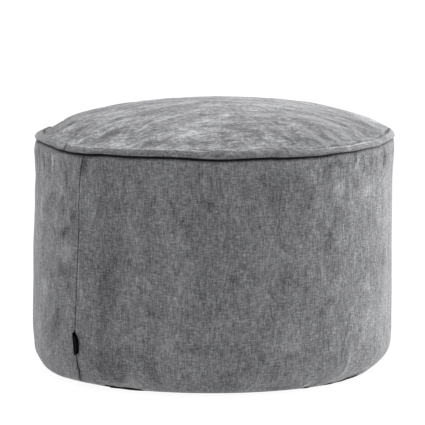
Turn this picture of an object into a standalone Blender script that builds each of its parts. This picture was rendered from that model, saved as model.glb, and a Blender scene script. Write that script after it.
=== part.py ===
"""Round bean bag footstool: a filled chenille drum with a crowned top, a black base and a ribbon tab.

Metres, +Z up, front towards -Y, resting on z = 0 with its middle over the origin.
Turns are degrees round the drum from its front, positive towards +X.
"""

import math
from collections import namedtuple

import bpy
import bmesh
from mathutils import Vector

# Driving sizes
RIM_SEAM_HEIGHT = 0.3215
CROWN_RISE = 0.0555
CROWN_TILT = 0.0018
DRUM_LEAN = 0.0040
BASE_RADIUS = 0.2135
BASE_FLAT_RADIUS = 0.2075
BASE_THICKNESS = 0.002
SEWN_GAP = 0.0003
FLAT_JOINT_RADIUS = 0.238

# How the rings are cut into columns
COLUMNS = 88
CLEAR_OF_FINE_COLUMN = math.radians(1.3)

# The foot of the side panel, rolled under to the base
FOOT_HEIGHT = 0.0006
FOOT_WIDTH = 0.0004
FOOT_ROLL_RADIUS = 0.2185
FOOT_ROLL_STEP = 0.0014
FOOT_FADE_START = 0.004
FOOT_FADE_HEIGHT = 0.012

# The waves of the rim reach this low on the side, and fade by this power of the radius on the crown
WAVE_START_HEIGHT = 0.24
WAVE_FADE_POWER = 8

# The band of the rim: where it sags the crown follows it, from the fade radius outwards
BAND_HEIGHT = 0.0100
CROWN_FADE_RADIUS = 0.205
CROWN_FADE_WIDTH = 0.032
CROWN_LIFT_RADIUS = 0.227
CROWN_LIFT_WIDTH = 0.016
ROLLED_SWELL = 0.30
ROLLED_SWELL_WIDTH = 0.0026
ROLL_POWER = 4

# The line of topstitching, and how far the band falls back where it is slack
GROOVE_FLAT_RISE = 0.0116
GROOVE_DEPTH = 0.0020
BAND_SLACK = 0.0010

# The vertical seam that closes the side panel
SEAM_RADIUS = 0.2495
SEAM_DEPTH = 0.0015
SEAM_HALF_WIDTH = 0.0022
SEAM_RIDGE_RISE = 0.0005
SEAM_RIDGE_OFFSET = 0.0042
SEAM_DRIFT_SPREAD = math.radians(14)

# Where the topstitching of the rim starts
STITCH_START_TURN = -54.9
STITCH_START_STEP = 0.8

# The ribbon tab, folded once and caught in the vertical seam
TAB_THICKNESS = 0.001
TAB_TOP_HEIGHT = 0.0795
TAB_BOTTOM_HEIGHT = 0.0455
TAB_TAPER = 0.62

# Edges that turn more sharply than this are shaded as creases
CREASE_DEGREES = 50

Finish = namedtuple("Finish", "name colour roughness sheen")
GREY_CHENILLE = Finish("grey_chenille", (0.165, 0.165, 0.172, 1.0), 0.85, 0.4)
BLACK_BASE_CLOTH = Finish("black_base_cloth", (0.012, 0.012, 0.013, 1.0), 0.75, 0.1)
BLACK_RIBBON = Finish("black_ribbon", (0.008, 0.008, 0.009, 1.0), 0.6, 0.1)

SideRing = namedtuple("SideRing", "height radius")
SIDE_PROFILE = (
    SideRing(0.0045, 0.2245),
    SideRing(0.0120, 0.2340),
    SideRing(0.0205, 0.2420),
    SideRing(0.0290, 0.2474),
    SideRing(0.0400, 0.2492),
    SideRing(0.0750, 0.2496),
    SideRing(0.1300, 0.2496),
    SideRing(0.1850, 0.2492),
    SideRing(0.2350, 0.2487),
    SideRing(0.2750, 0.2488),
    SideRing(0.2980, 0.2493),
    SideRing(0.3100, 0.2497),
    SideRing(0.3174, 0.2494),
    SideRing(0.3200, 0.2482),
    SideRing(0.3206, 0.2446),
)

# Rises are above the seam under the rim. The groove row is the line of topstitching.
TopRing = namedtuple("TopRing", "radius rise part")
TOP_PROFILE = (
    TopRing(0.2440, 0.0004, "underside"),
    TopRing(0.2482, 0.0012, "band"),
    TopRing(0.2502, 0.0032, "band"),
    TopRing(0.2504, 0.0052, "band"),
    TopRing(0.2496, 0.0076, "band"),
    TopRing(0.2480, 0.0100, "band"),
    TopRing(0.2458, 0.0120, "band"),
    TopRing(0.2440, GROOVE_FLAT_RISE, "groove"),
    TopRing(0.2415, 0.0126, "crown"),
    TopRing(0.2340, 0.0150, "crown"),
    TopRing(0.2250, 0.0180, "crown"),
    TopRing(0.2140, 0.0227, "crown"),
    TopRing(0.1990, 0.0284, "crown"),
    TopRing(0.1780, 0.0344, "crown"),
    TopRing(0.1460, 0.0408, "crown"),
    TopRing(0.1040, 0.0473, "crown"),
    TopRing(0.0520, 0.0529, "crown"),
)

# How the seam under the rim rises and dips on its way round
RimWave = namedtuple("RimWave", "turn lift")
RIM_WAVES = (
    RimWave(-170, 0.0004),
    RimWave(-140, -0.0008),
    RimWave(-110, 0.0006),
    RimWave(-82, 0.0012),
    RimWave(-72, 0.0026),
    RimWave(-65, 0.0022),
    RimWave(-57, 0.0000),
    RimWave(-51, -0.0006),
    RimWave(-45, 0.0002),
    RimWave(-38, 0.0026),
    RimWave(-30, 0.0026),
    RimWave(-13, 0.0040),
    RimWave(1, 0.0014),
    RimWave(16, 0.0028),
    RimWave(23, 0.0016),
    RimWave(34, 0.0012),
    RimWave(43, 0.0026),
    RimWave(48, 0.0020),
    RimWave(56, 0.0028),
    RimWave(64, 0.0020),
    RimWave(73, 0.0036),
    RimWave(88, 0.0022),
    RimWave(120, -0.0007),
    RimWave(150, 0.0009),
)

# Where the band sags below its full height and draws in, so that the rim is uneven
RimSag = namedtuple("RimSag", "turn drop draw")
RIM_SAGS = (
    RimSag(-170, 0.0006, 0.0002),
    RimSag(-145, 0.0030, 0.0010),
    RimSag(-124, 0.0064, 0.0016),
    RimSag(-112, 0.0070, 0.0014),
    RimSag(-102, 0.0032, 0.0008),
    RimSag(-90, 0.0024, 0.0010),
    RimSag(-70, 0.0014, 0.0006),
    RimSag(-52, 0.0010, 0.0000),
    RimSag(-40, 0.0016, 0.0000),
    RimSag(-24, 0.0000, 0.0000),
    RimSag(18, 0.0000, 0.0000),
    RimSag(34, 0.0018, 0.0000),
    RimSag(44, 0.0030, 0.0000),
    RimSag(60, 0.0028, 0.0000),
    RimSag(76, 0.0010, 0.0000),
    RimSag(90, 0.0000, -0.0002),
    RimSag(100, 0.0030, 0.0000),
    RimSag(112, 0.0060, 0.0004),
    RimSag(125, 0.0040, 0.0004),
    RimSag(145, 0.0004, 0.0000),
)

# How far the band rolls over inwards, and how far the crown stands off it there
RimRoll = namedtuple("RimRoll", "turn width crown_lift")
RIM_ROLLS = (
    RimRoll(-170, 0.0000, 0.0000),
    RimRoll(-140, 0.0010, 0.0000),
    RimRoll(-118, 0.0036, 0.0004),
    RimRoll(-98, 0.0052, 0.0008),
    RimRoll(-80, 0.0046, 0.0006),
    RimRoll(-66, 0.0006, 0.0004),
    RimRoll(-54, 0.0000, 0.0000),
    RimRoll(66, 0.0000, 0.0000),
    RimRoll(80, 0.0016, 0.0006),
    RimRoll(98, 0.0024, 0.0022),
    RimRoll(118, 0.0010, 0.0044),
    RimRoll(145, 0.0000, 0.0000),
)

# How deep the topstitching pulls in, from 0 where it is left out to 1
StitchPull = namedtuple("StitchPull", "turn pull")
STITCH_PULLS = (
    StitchPull(-150, 0.8),
    StitchPull(-110, 0.9),
    StitchPull(-86, 1.2),
    StitchPull(-74, 0.5),
    StitchPull(-60, 0.0),
    StitchPull(STITCH_START_TURN - STITCH_START_STEP, 0.0),
    StitchPull(STITCH_START_TURN, 1.0),
    StitchPull(-25, 0.9),
    StitchPull(-8, 0.6),
    StitchPull(0, 0.1),
    StitchPull(12, 0.4),
    StitchPull(38, 0.4),
    StitchPull(56, 0.6),
    StitchPull(70, 0.4),
    StitchPull(82, 1.4),
    StitchPull(95, 0.6),
    StitchPull(130, 0.8),
)

# Where the edge of the black base reaches out and curls up, and how far the side over it lifts
BaseReveal = namedtuple("BaseReveal", "turn reach lift curl")
BASE_REVEALS = (
    BaseReveal(-150, 0.0010, 0.0003, 0.0002),
    BaseReveal(-95, 0.0016, 0.0006, 0.0004),
    BaseReveal(-46, 0.0004, 0.0000, 0.0000),
    BaseReveal(-41, 0.0050, 0.0028, 0.0000),
    BaseReveal(-28, 0.0050, 0.0028, 0.0000),
    BaseReveal(-20, 0.0002, 0.0000, 0.0000),
    BaseReveal(30, 0.0002, 0.0000, 0.0000),
    BaseReveal(47, 0.0024, 0.0012, 0.0004),
    BaseReveal(57, 0.0052, 0.0036, 0.0016),
    BaseReveal(66, 0.0052, 0.0036, 0.0020),
    BaseReveal(76, 0.0002, 0.0000, 0.0000),
    BaseReveal(140, 0.0014, 0.0005, 0.0004),
)

# Broad swells and dents of the filled side
Swell = namedtuple("Swell", "turn height half_turn half_height out")
SIDE_SWELLS = (
    Swell(74, 0.016, 26, 0.022, -0.0012),
    Swell(28, 0.090, 34, 0.070, 0.0007),
    Swell(-30, 0.150, 30, 0.080, -0.0006),
    Swell(-60, 0.006, 18, 0.012, 0.0024),
    Swell(62, 0.005, 18, 0.010, -0.0024),
    Swell(34, 0.004, 9, 0.008, 0.0014),
    Swell(-82, 0.040, 24, 0.018, -0.0022),
    Swell(-74, 0.006, 34, 0.011, 0.0044),
    Swell(-90, 0.275, 30, 0.045, -0.0011),
    Swell(90, 0.275, 30, 0.045, -0.0007),
    Swell(130, 0.120, 36, 0.080, -0.0012),
    Swell(-140, 0.200, 36, 0.080, -0.0010),
    Swell(178, 0.060, 30, 0.050, -0.0008),
)

# The vertical seam leans a little on its way down, and sweeps back at the foot
SeamRow = namedtuple("SeamRow", "height turn")
SIDE_SEAM = (
    SeamRow(0.000, -52.6),
    SeamRow(0.007, -51.4),
    SeamRow(0.015, -49.7),
    SeamRow(0.025, -48.3),
    SeamRow(0.035, -47.9),
    SeamRow(0.045, -47.9),
    SeamRow(0.080, -48.4),
    SeamRow(0.130, -48.2),
    SeamRow(0.180, -47.7),
    SeamRow(0.260, -47.1),
    SeamRow(0.294, -46.7),
    SeamRow(0.310, -46.0),
    SeamRow(0.3215, -45.0),
)

# The ribbon's path in plan, from one sewn end round its fold to the other, and how its edges droop.
# out is away from the drum, along is towards the front. The tab stands out less towards its lower edge.
TabStation = namedtuple("TabStation", "out along top_drop bottom_rise")
TAB_PATH = (
    TabStation(0.0003, -0.0007, 0.0000, 0.0000),
    TabStation(0.0028, -0.0026, 0.0042, -0.0008),
    TabStation(0.0052, -0.0008, 0.0050, -0.0004),
    TabStation(0.0056, 0.0028, 0.0064, 0.0008),
    TabStation(0.0047, 0.0062, 0.0088, 0.0020),
    TabStation(0.0032, 0.0080, 0.0104, 0.0030),
    TabStation(0.0021, 0.0070, 0.0094, 0.0026),
    TabStation(0.0024, 0.0044, 0.0070, 0.0014),
    TabStation(0.0018, 0.0018, 0.0036, 0.0004),
    TabStation(0.0003, 0.0007, 0.0010, 0.0000),
)


def clear_scene():
    for obj in list(bpy.data.objects):
        bpy.data.objects.remove(obj, do_unlink=True)


def cloth_material(finish):
    material = bpy.data.materials.new(finish.name)
    material.use_nodes = True
    shader = material.node_tree.nodes["Principled BSDF"]
    shader.inputs["Base Color"].default_value = finish.colour
    shader.inputs["Roughness"].default_value = finish.roughness
    shader.inputs["Metallic"].default_value = 0.0
    shader.inputs["Sheen Weight"].default_value = finish.sheen
    material.diffuse_color = finish.colour
    return material


def smooth_step(share):
    share = min(max(share, 0.0), 1.0)
    return share * share * (3 - 2 * share)


def bell(share):
    return math.exp(-share * share)


def around(rows, turn, column):
    """The value of one column of a table at a turn, eased from row to row all the way round."""
    for index, row in enumerate(rows):
        following = rows[(index + 1) % len(rows)]
        span = (following.turn - row.turn) % 360
        past = (turn - row.turn) % 360
        if past <= span:
            start = getattr(row, column)
            end = getattr(following, column)
            return start + (end - start) * smooth_step(past / span)
    return getattr(rows[0], column)


def at_height(rows, height, column):
    """The value of one column of a table at a height, along straight lines from row to row."""
    for lower, upper in zip(rows, rows[1:]):
        if height <= upper.height:
            share = min(max((height - lower.height) / (upper.height - lower.height), 0.0), 1.0)
            return getattr(lower, column) * (1 - share) + getattr(upper, column) * share
    return getattr(rows[-1], column)


def turn_apart(first, second):
    return (first - second + 180) % 360 - 180


def middle_at(height):
    """The middle of the drum, which leans a little towards +X on its way up."""
    return Vector((DRUM_LEAN * (height / RIM_SEAM_HEIGHT - 0.5), 0.0, height))


def on_drum(radius, angle, height):
    return middle_at(height) + Vector((radius * math.sin(angle), -radius * math.cos(angle), 0.0))


def column_angles():
    """Even columns round the drum, with fine ones at the vertical seam and where the stitching starts."""
    seam = math.radians(at_height(SIDE_SEAM, RIM_SEAM_HEIGHT / 2, "turn"))
    to_edge = SEAM_HALF_WIDTH / SEAM_RADIUS
    to_ridge = SEAM_RIDGE_OFFSET / SEAM_RADIUS
    start = math.radians(STITCH_START_TURN)
    fine = [seam - 2 * to_edge, seam - to_edge, seam, seam + to_edge, seam + to_ridge]
    fine += [start - math.radians(STITCH_START_STEP), start]
    even = [2 * math.pi * index / COLUMNS - math.pi for index in range(COLUMNS)]
    kept = [angle for angle in even if all(abs(angle - other) > CLEAR_OF_FINE_COLUMN for other in fine)]
    return sorted(kept + fine)


def drifted(angle, height):
    """Columns near the vertical seam lean with it."""
    middle = math.radians(at_height(SIDE_SEAM, RIM_SEAM_HEIGHT / 2, "turn"))
    here = math.radians(at_height(SIDE_SEAM, height, "turn"))
    return angle + (here - middle) * bell((angle - middle) / SEAM_DRIFT_SPREAD)


def seam_relief(angle):
    """The groove of the vertical seam and the low ridge beside it."""
    middle = math.radians(at_height(SIDE_SEAM, RIM_SEAM_HEIGHT / 2, "turn"))
    across = (angle - middle) * SEAM_RADIUS
    groove = max(1 - abs(across) / SEAM_HALF_WIDTH, 0.0)
    ridge = max(1 - abs(across - SEAM_RIDGE_OFFSET) / SEAM_HALF_WIDTH, 0.0)
    return SEAM_RIDGE_RISE * ridge - SEAM_DEPTH * groove


def side_swell(turn, height):
    total = 0.0
    for swell in SIDE_SWELLS:
        across = turn_apart(turn, swell.turn) / swell.half_turn
        up = (height - swell.height) / swell.half_height
        total += swell.out * bell(across) * bell(up)
    return total


def reach(loop):
    """How far a ring of points stands from its own middle, taken at its first point."""
    first = loop[0].co
    return (first - middle_at(first.z)).xy.length


def skin(name, rings, bottom_level, top_level, material):
    """A closed solid over rings of equal count, from its lowest ring outwards and up.

    A fan closes each end. Each quad starts at its inner ring, so that two facing skins
    split along the same diagonal.
    """
    mesh = bpy.data.meshes.new(name)
    bm = bmesh.new()
    loops = [[bm.verts.new(point) for point in ring] for ring in rings]
    count = len(rings[0])
    for lower, upper in zip(loops, loops[1:]):
        inner_first = reach(lower) <= reach(upper)
        for index in range(count):
            following = (index + 1) % count
            if inner_first:
                bm.faces.new((lower[index], lower[following], upper[following], upper[index]))
            else:
                bm.faces.new((upper[index], lower[index], lower[following], upper[following]))
    low_tip = bm.verts.new(middle_at(bottom_level))
    high_tip = bm.verts.new(middle_at(top_level))
    for index in range(count):
        following = (index + 1) % count
        bm.faces.new((loops[0][following], loops[0][index], low_tip))
        bm.faces.new((loops[-1][index], loops[-1][following], high_tip))
    bmesh.ops.recalc_face_normals(bm, faces=bm.faces)
    bm.to_mesh(mesh)
    bm.free()
    mesh.materials.append(material)
    obj = bpy.data.objects.new(name, mesh)
    bpy.context.collection.objects.link(obj)
    return obj


def shade_cloth(obj):
    obj.data.shade_smooth()
    obj.data.set_sharp_from_angle(angle=math.radians(CREASE_DEGREES))


def base_edge(turn):
    return BASE_RADIUS + around(BASE_REVEALS, turn, "reach")


def build_base_panel(material):
    """A flat sheet whose edge is pulled up a little where it shows."""
    angles = column_angles()
    rings = []
    for level in (0.0, BASE_THICKNESS):
        flat = [on_drum(BASE_FLAT_RADIUS, angle, level) for angle in angles]
        edge = []
        for angle in angles:
            turn = math.degrees(angle)
            edge.append(on_drum(base_edge(turn), angle, level + around(BASE_REVEALS, turn, "curl")))
        rings += [flat, edge] if level == 0.0 else [edge, flat]
    obj = skin("base_panel", rings, 0.0, BASE_THICKNESS, material)
    shade_cloth(obj)


def build_side_panel(material):
    """A filled drum that sits over the base and is drawn in under the rim."""
    angles = column_angles()
    over_base = BASE_THICKNESS + SEWN_GAP
    rings = [[on_drum(BASE_FLAT_RADIUS, angle, over_base) for angle in angles]]
    lip = []
    foot = []
    roll = []
    for angle in angles:
        turn = math.degrees(angle)
        lift = around(BASE_REVEALS, turn, "lift")
        edge = base_edge(turn) + SEWN_GAP
        lip.append(on_drum(edge, angle, over_base + lift))
        foot.append(on_drum(edge + FOOT_WIDTH, angle, FOOT_HEIGHT + lift))
        roll.append(on_drum(max(edge + FOOT_ROLL_STEP, FOOT_ROLL_RADIUS), angle, FOOT_ROLL_STEP + lift))
    rings += [lip, foot, roll]
    top_ring = SIDE_PROFILE[-1]
    wave_span = top_ring.height - WAVE_START_HEIGHT
    for row in SIDE_PROFILE:
        ring = []
        for angle in angles:
            leaned = drifted(angle, row.height)
            turn = math.degrees(leaned)
            near_rim = smooth_step((row.height - WAVE_START_HEIGHT) / wave_span)
            near_base = 1 - smooth_step((row.height - FOOT_FADE_START) / FOOT_FADE_HEIGHT)
            height = row.height + near_rim * around(RIM_WAVES, turn, "lift")
            height += near_base * around(BASE_REVEALS, turn, "lift")
            radius = row.radius + side_swell(turn, row.height)
            if row is not top_ring:
                radius += seam_relief(angle)
            ring.append(on_drum(radius, leaned, height))
        rings.append(ring)
    top_level = RIM_SEAM_HEIGHT - SEWN_GAP
    rings.append([on_drum(FLAT_JOINT_RADIUS, angle, top_level) for angle in angles])
    obj = skin("side_panel", rings, over_base, top_level, material)
    shade_cloth(obj)


def on_rim(row, angle):
    """(radius, rise) of one row of the top panel at an angle."""
    turn = math.degrees(angle)
    share = min(row.radius / TOP_PROFILE[0].radius, 1.0)
    up_band = min(row.rise / BAND_HEIGHT, 1.0)
    near_rim = smooth_step((row.radius - CROWN_FADE_RADIUS) / CROWN_FADE_WIDTH)
    pull = around(STITCH_PULLS, turn, "pull")
    roll = around(RIM_ROLLS, turn, "width")
    radius = row.radius - around(RIM_SAGS, turn, "draw") * up_band * near_rim
    radius -= roll * up_band**ROLL_POWER * near_rim
    rise = row.rise + around(RIM_WAVES, turn, "lift") * share**WAVE_FADE_POWER
    rise -= around(RIM_SAGS, turn, "drop") * up_band * near_rim
    if row.part == "band":
        radius -= BAND_SLACK * (1 - min(pull, 1.0)) * up_band
        rise += ROLLED_SWELL * roll * bell((row.rise - BAND_HEIGHT) / ROLLED_SWELL_WIDTH)
    elif row.part == "groove":
        rise -= GROOVE_DEPTH * pull
    elif row.part == "crown":
        rise += CROWN_TILT * math.sin(angle) * share
        off_band = bell((row.radius - CROWN_LIFT_RADIUS) / CROWN_LIFT_WIDTH)
        rise += around(RIM_ROLLS, turn, "crown_lift") * off_band
    return radius, rise


def build_top_panel(material):
    """A filled crowned cap with the topstitched band round its rim."""
    angles = column_angles()
    rings = [[on_drum(FLAT_JOINT_RADIUS, angle, RIM_SEAM_HEIGHT) for angle in angles]]
    for row in TOP_PROFILE:
        ring = []
        for angle in angles:
            radius, rise = on_rim(row, angle)
            ring.append(on_drum(radius, angle, RIM_SEAM_HEIGHT + rise))
        rings.append(ring)
    obj = skin("top_panel", rings, RIM_SEAM_HEIGHT, RIM_SEAM_HEIGHT + CROWN_RISE, material)
    shade_cloth(obj)


def beside_seam(out, along, height):
    """A point out from the drum and forward along it from the vertical seam, at a height."""
    angle = math.radians(at_height(SIDE_SEAM, height, "turn"))
    radius = SEAM_RADIUS + side_swell(math.degrees(angle), height)
    forward = Vector((math.cos(angle), math.sin(angle), 0.0))
    return on_drum(radius + out, angle, height) + forward * along


def build_label_tab(material):
    """One folded ribbon, its two layers a little apart."""
    mesh = bpy.data.meshes.new("label_tab")
    bm = bmesh.new()
    sections = []
    for index, row in enumerate(TAB_PATH):
        before = TAB_PATH[max(index - 1, 0)]
        after = TAB_PATH[min(index + 1, len(TAB_PATH) - 1)]
        run = Vector((after.out - before.out, after.along - before.along)).normalized()
        half = run.orthogonal() * (TAB_THICKNESS / 2)
        low = TAB_BOTTOM_HEIGHT + row.bottom_rise
        high = TAB_TOP_HEIGHT - row.top_drop
        corners = []
        for side, height, taper in ((-1, low, TAB_TAPER), (1, low, TAB_TAPER), (1, high, 1), (-1, high, 1)):
            out = row.out * taper + side * half.x
            along = row.along * (1 + taper) / 2 + side * half.y
            corners.append(beside_seam(out, along, height))
        sections.append([bm.verts.new(corner) for corner in corners])
    for first, second in zip(sections, sections[1:]):
        for index in range(4):
            following = (index + 1) % 4
            bm.faces.new((first[index], first[following], second[following], second[index]))
    bm.faces.new(sections[0][::-1])
    bm.faces.new(sections[-1])
    bmesh.ops.recalc_face_normals(bm, faces=bm.faces)
    bm.to_mesh(mesh)
    bm.free()
    mesh.materials.append(material)
    obj = bpy.data.objects.new("label_tab", mesh)
    bpy.context.collection.objects.link(obj)
    shade_cloth(obj)


def main():
    clear_scene()
    chenille = cloth_material(GREY_CHENILLE)
    base_cloth = cloth_material(BLACK_BASE_CLOTH)
    ribbon = cloth_material(BLACK_RIBBON)
    build_base_panel(base_cloth)
    build_side_panel(chenille)
    build_top_panel(chenille)
    build_label_tab(ribbon)


main()
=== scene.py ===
"""Looks of the round bean bag footstool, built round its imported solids.

Metres, +Z up, front towards -Y. A turn is in degrees round the drum from its front, positive
towards +X. Each piece has its own operator, and another sets up the stage.
"""

import math
from collections import namedtuple
from types import SimpleNamespace

import bpy
import numpy as np
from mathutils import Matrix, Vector, noise


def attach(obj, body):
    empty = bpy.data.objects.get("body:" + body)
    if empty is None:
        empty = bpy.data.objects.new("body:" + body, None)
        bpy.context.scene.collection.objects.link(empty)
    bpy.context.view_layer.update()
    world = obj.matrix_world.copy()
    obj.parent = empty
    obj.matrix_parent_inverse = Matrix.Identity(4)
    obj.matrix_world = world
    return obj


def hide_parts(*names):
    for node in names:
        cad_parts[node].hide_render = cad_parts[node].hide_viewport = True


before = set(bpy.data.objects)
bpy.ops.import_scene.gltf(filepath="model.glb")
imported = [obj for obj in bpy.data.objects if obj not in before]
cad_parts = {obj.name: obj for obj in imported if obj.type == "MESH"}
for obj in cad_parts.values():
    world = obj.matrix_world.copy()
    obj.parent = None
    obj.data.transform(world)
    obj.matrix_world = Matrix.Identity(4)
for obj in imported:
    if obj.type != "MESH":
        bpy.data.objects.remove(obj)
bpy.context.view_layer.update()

bl_info = {
    "name": "Bean Bag Footstool",
    "version": (1, 0, 0),
    "blender": (4, 5, 0),
    "location": "View3D > Sidebar > Footstool",
    "description": "Builds a round chenille footstool over its solids, with its stage",
    "category": "Add Mesh",
}


def table(heading, *rows):
    """Rows with named columns: those headed /mm are kept in metres, those headed /% as shares."""
    names, units = zip(*[column.partition("/")[::2] for column in heading.split()])
    kind = namedtuple("Row", names)

    def kept(cell, unit):
        return round(cell / {"mm": 1000, "%": 100}[unit], 7) if unit else cell

    return [kind(*map(kept, row, units)) for row in rows]


# The drum, as its solids have it
RIM_SEAM_HEIGHT = 0.3215
RIM_SEAM_RADIUS = 0.230
DRUM_LEAN = 0.0040
DRUM_RADIUS = 0.2495
BASE_RADIUS = 0.2135
BASE_FLAT_RADIUS = 0.2075
BASE_THICKNESS = 0.0020
BASE_STEP = 1.5
SEWN_GAP = 0.0003

# Spacing of the fine grids
COLUMN_STEP = 0.55
FINE_REACH = 1.65
FINE_STEP = 0.08

# How the filled cloth settles: its grid, how far a point may move, and what it is like
SETTLE_FRAMES = 20
SETTLE_STEP = 1.25
SETTLE_ROW = 0.006
SETTLE_CAP = 0.0030
WIDE_WAVES = 8
FILLED_CLOTH = {
    "quality": 6,
    "mass": 0.3,
    "tension_stiffness": 20,
    "compression_stiffness": 20,
    "shear_stiffness": 5,
    "bending_stiffness": 1.5,
    "vertex_group_mass": "sewn",
    "vertex_group_shrink": "taut",
    "shrink_min": -0.024,
    "shrink_max": 0.0,
    "use_pressure": True,
    "uniform_pressure_force": 1.0,
}

# How loose the side cover is round the drum
SIDE_SLACK = table(
    "turn share",
    (-150, 0.8), (-100, 1), (-62, 1), (-45, 0.7), (-20, 0.45), (15, 0.45), (40, 0.8), (64, 1),
    (110, 0.8),
)

# The side cover from its foot up to the seam under the rim, with painted shade in the crease
SIDE_ROWS = table(
    "height/mm radius/mm tuck",
    (4.5, 224.5, 0), (12, 234, 0), (20.5, 242, 0), (29, 247.4, 0), (40, 249.2, 0), (75, 249.6, 0),
    (130, 249.6, 0), (185, 249.2, 0), (235, 248.7, 0), (275, 248.8, 0), (298, 249.3, 0),
    (310, 249.7, 0), (317.4, 249.6, 0), (320, 248.9, 0.45), (321.2, 247.4, 1), (321.4, 244, 1),
    (321.3, 238, 1),
)

# The top from its seam over the rim to the crown, where rises are above that seam
TOP_ROWS = table(
    "radius/mm rise/mm part",
    (236, 1.6, "underside"), (240, 1.9, "underside"), (247, 1.9, "underside"), (248.8, 2.2, "hem"),
    (250, 3.2, "band"), (250.5, 4.6, "band"), (250.2, 6.2, "band"), (249.5, 7.8, "band"),
    (248.5, 9.4, "band"), (247.2, 10.8, "band"), (246.4, 11.5, "ridge"), (245.8, 12.3, "ridge"),
    (245.1, 12.6, "ridge"), (244.4, 12, "groove"), (243.6, 11.4, "groove"), (242.8, 11.8, "groove"),
    (241.5, 12.8, "crown"), (239.5, 13.7, "crown"), (234, 15, "crown"), (225, 18, "crown"),
    (214, 22.7, "crown"), (199, 28.4, "crown"), (178, 34.4, "crown"), (146, 40.8, "crown"),
    (104, 47.3, "crown"), (52, 52.9, "crown"), (12, 55.2, "crown"),
)

# (band, painted shade) of each part: painted shade darkens the crease under the rim and the groove
PART_MARKS = {
    "underside": (1.0, 1.0),
    "hem": (1.0, 1.0),
    "band": (1.0, 0.0),
    "ridge": (1.0, 0.0),
    "groove": (0.5, 0.5),
    "crown": (0.0, 0.0),
}
BAND_HEIGHT = 0.0100
CROWN_RADIUS = 0.2440
CROWN_TILT = 0.0018
# How far the band draws in where it is not stitched down, and at the notch where stitching starts
SLACK_DRAW = 0.0010
NOTCH_DRAW = 0.0009
# Of the roll of the band: how much its foot moves in, and how much its top lifts
FOOT_ROLL = 0.40
TOP_ROLL = 0.30

# Where the band sags below its full height and draws in, so that the rim is uneven
RIM_SAGS = table(
    "turn drop/mm draw/mm",
    (-170, 0.6, 0.2), (-145, 3, 1), (-124, 7, 1.6), (-113, 8, 1.4), (-102, 4.3, 0.8), (-90, 2.4, 1),
    (-70, 1.4, 0.6), (-52, 1, 0), (-40, 1.6, 0), (-24, 0, 0), (18, 0, 0), (34, 1.8, 0), (44, 3, 0),
    (60, 2.8, 0), (76, 1, 0), (90, 0, -0.2), (100, 3, 0), (112, 6.2, 0.4), (125, 3.8, 0.4),
    (145, 0.4, 0),
)

# How far the band rolls over, and so how far in the stitching lies, where the crown stands off it
RIM_ROLLS = table(
    "turn roll/mm crown_lift/mm",
    (-170, 0, 0), (-140, 1, 0), (-118, 3.6, 1.4), (-98, 6.8, 2), (-80, 5.4, 0.6), (-66, 0.6, 0.4),
    (-54, 0, 0), (66, 0, 0), (80, 1.2, 0.4), (98, 2, 3.6), (118, 1, 4.8), (145, 0, 0),
)

# How far the crease under the rim stands open
RIM_GAPS = table(
    "turn gap",
    (-180, 0.6), (-100, 0.6), (-74, 0.6), (-63, 0.8), (-56, 1.3), (-49, 1), (28, 1), (38, 0.95),
    (47, 0.75), (60, 0.38), (90, 0), (125, 0.5),
)

# How the rim waves up and down
RIM_WAVES = table(
    "turn wave/mm",
    (-170, 0.4), (-140, -0.8), (-110, 0.6), (-82, 1.2), (-72, 2.6), (-65, 2.2), (-57, 0),
    (-51, -0.6), (-45, 0.2), (-38, 2.6), (-30, 2.6), (-13, 4), (1, 1.4), (16, 2.8), (23, 1.6),
    (34, 1.2), (43, 2.6), (48, 2), (56, 2.8), (64, 2), (73, 3.6), (88, 2.2), (120, -0.7),
    (150, 0.9),
)

# The rim stitching: where it starts, how far round it runs, and how its thread lies
STITCH_START_TURN = -54.9
STITCHED_TURN = 325
STITCH_RADIUS = 0.2452
STITCH_RISE = 0.0114
GROOVE_DEPTH = 0.0020
RIDGE_RISE = 0.0004
SLACK_RISE = 0.0008
START_NOTCH = 0.48
# How much painted shade lies beside the stitching
STITCH_SHADE = 0.16
STITCH_MARGIN_TURN = 0.8
STITCH_LINE_STEP = 0.25
THREAD_SIDES = 6
THREAD_LIGHTER = 1.1
STITCH_SHAPE = table(
    "along rise/mm thick",
    (0.08, -0.6, 0.6), (0.275, 0, 1), (0.47, 0.15, 1), (0.665, 0, 1), (0.86, -0.6, 0.6),
)

# How deep the rim stitching pulls in, and how strong the painted highlight on its ridge is
STITCH_PULLS = table(
    "turn pull shine",
    (-150, 0.8, 0.4), (-110, 0.9, 0.3), (-86, 1.2, 0), (-74, 0.5, 0), (-60, 0, 0),
    (STITCH_START_TURN - 0.3, 0, 0), (STITCH_START_TURN + 0.3, 1, 1), (-25, 0.9, 1),
    (-17, 0.9, 1.5), (-9, 0.9, 1.3), (-3.5, 0.6, 0.7), (-0.5, 0.1, 0), (5, 0.1, 0), (12, 0.4, 0.2),
    (30, 0.3, 0.3), (38, 0.4, 1), (56, 0.6, 1), (64, 0.2, 0.4), (70, 0.4, -0.3), (75, 0.1, -0.8),
    (79.5, 2, -0.8), (83.5, 1.8, 0), (89, 0.2, 0), (130, 0.8, 0.4),
)

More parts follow.
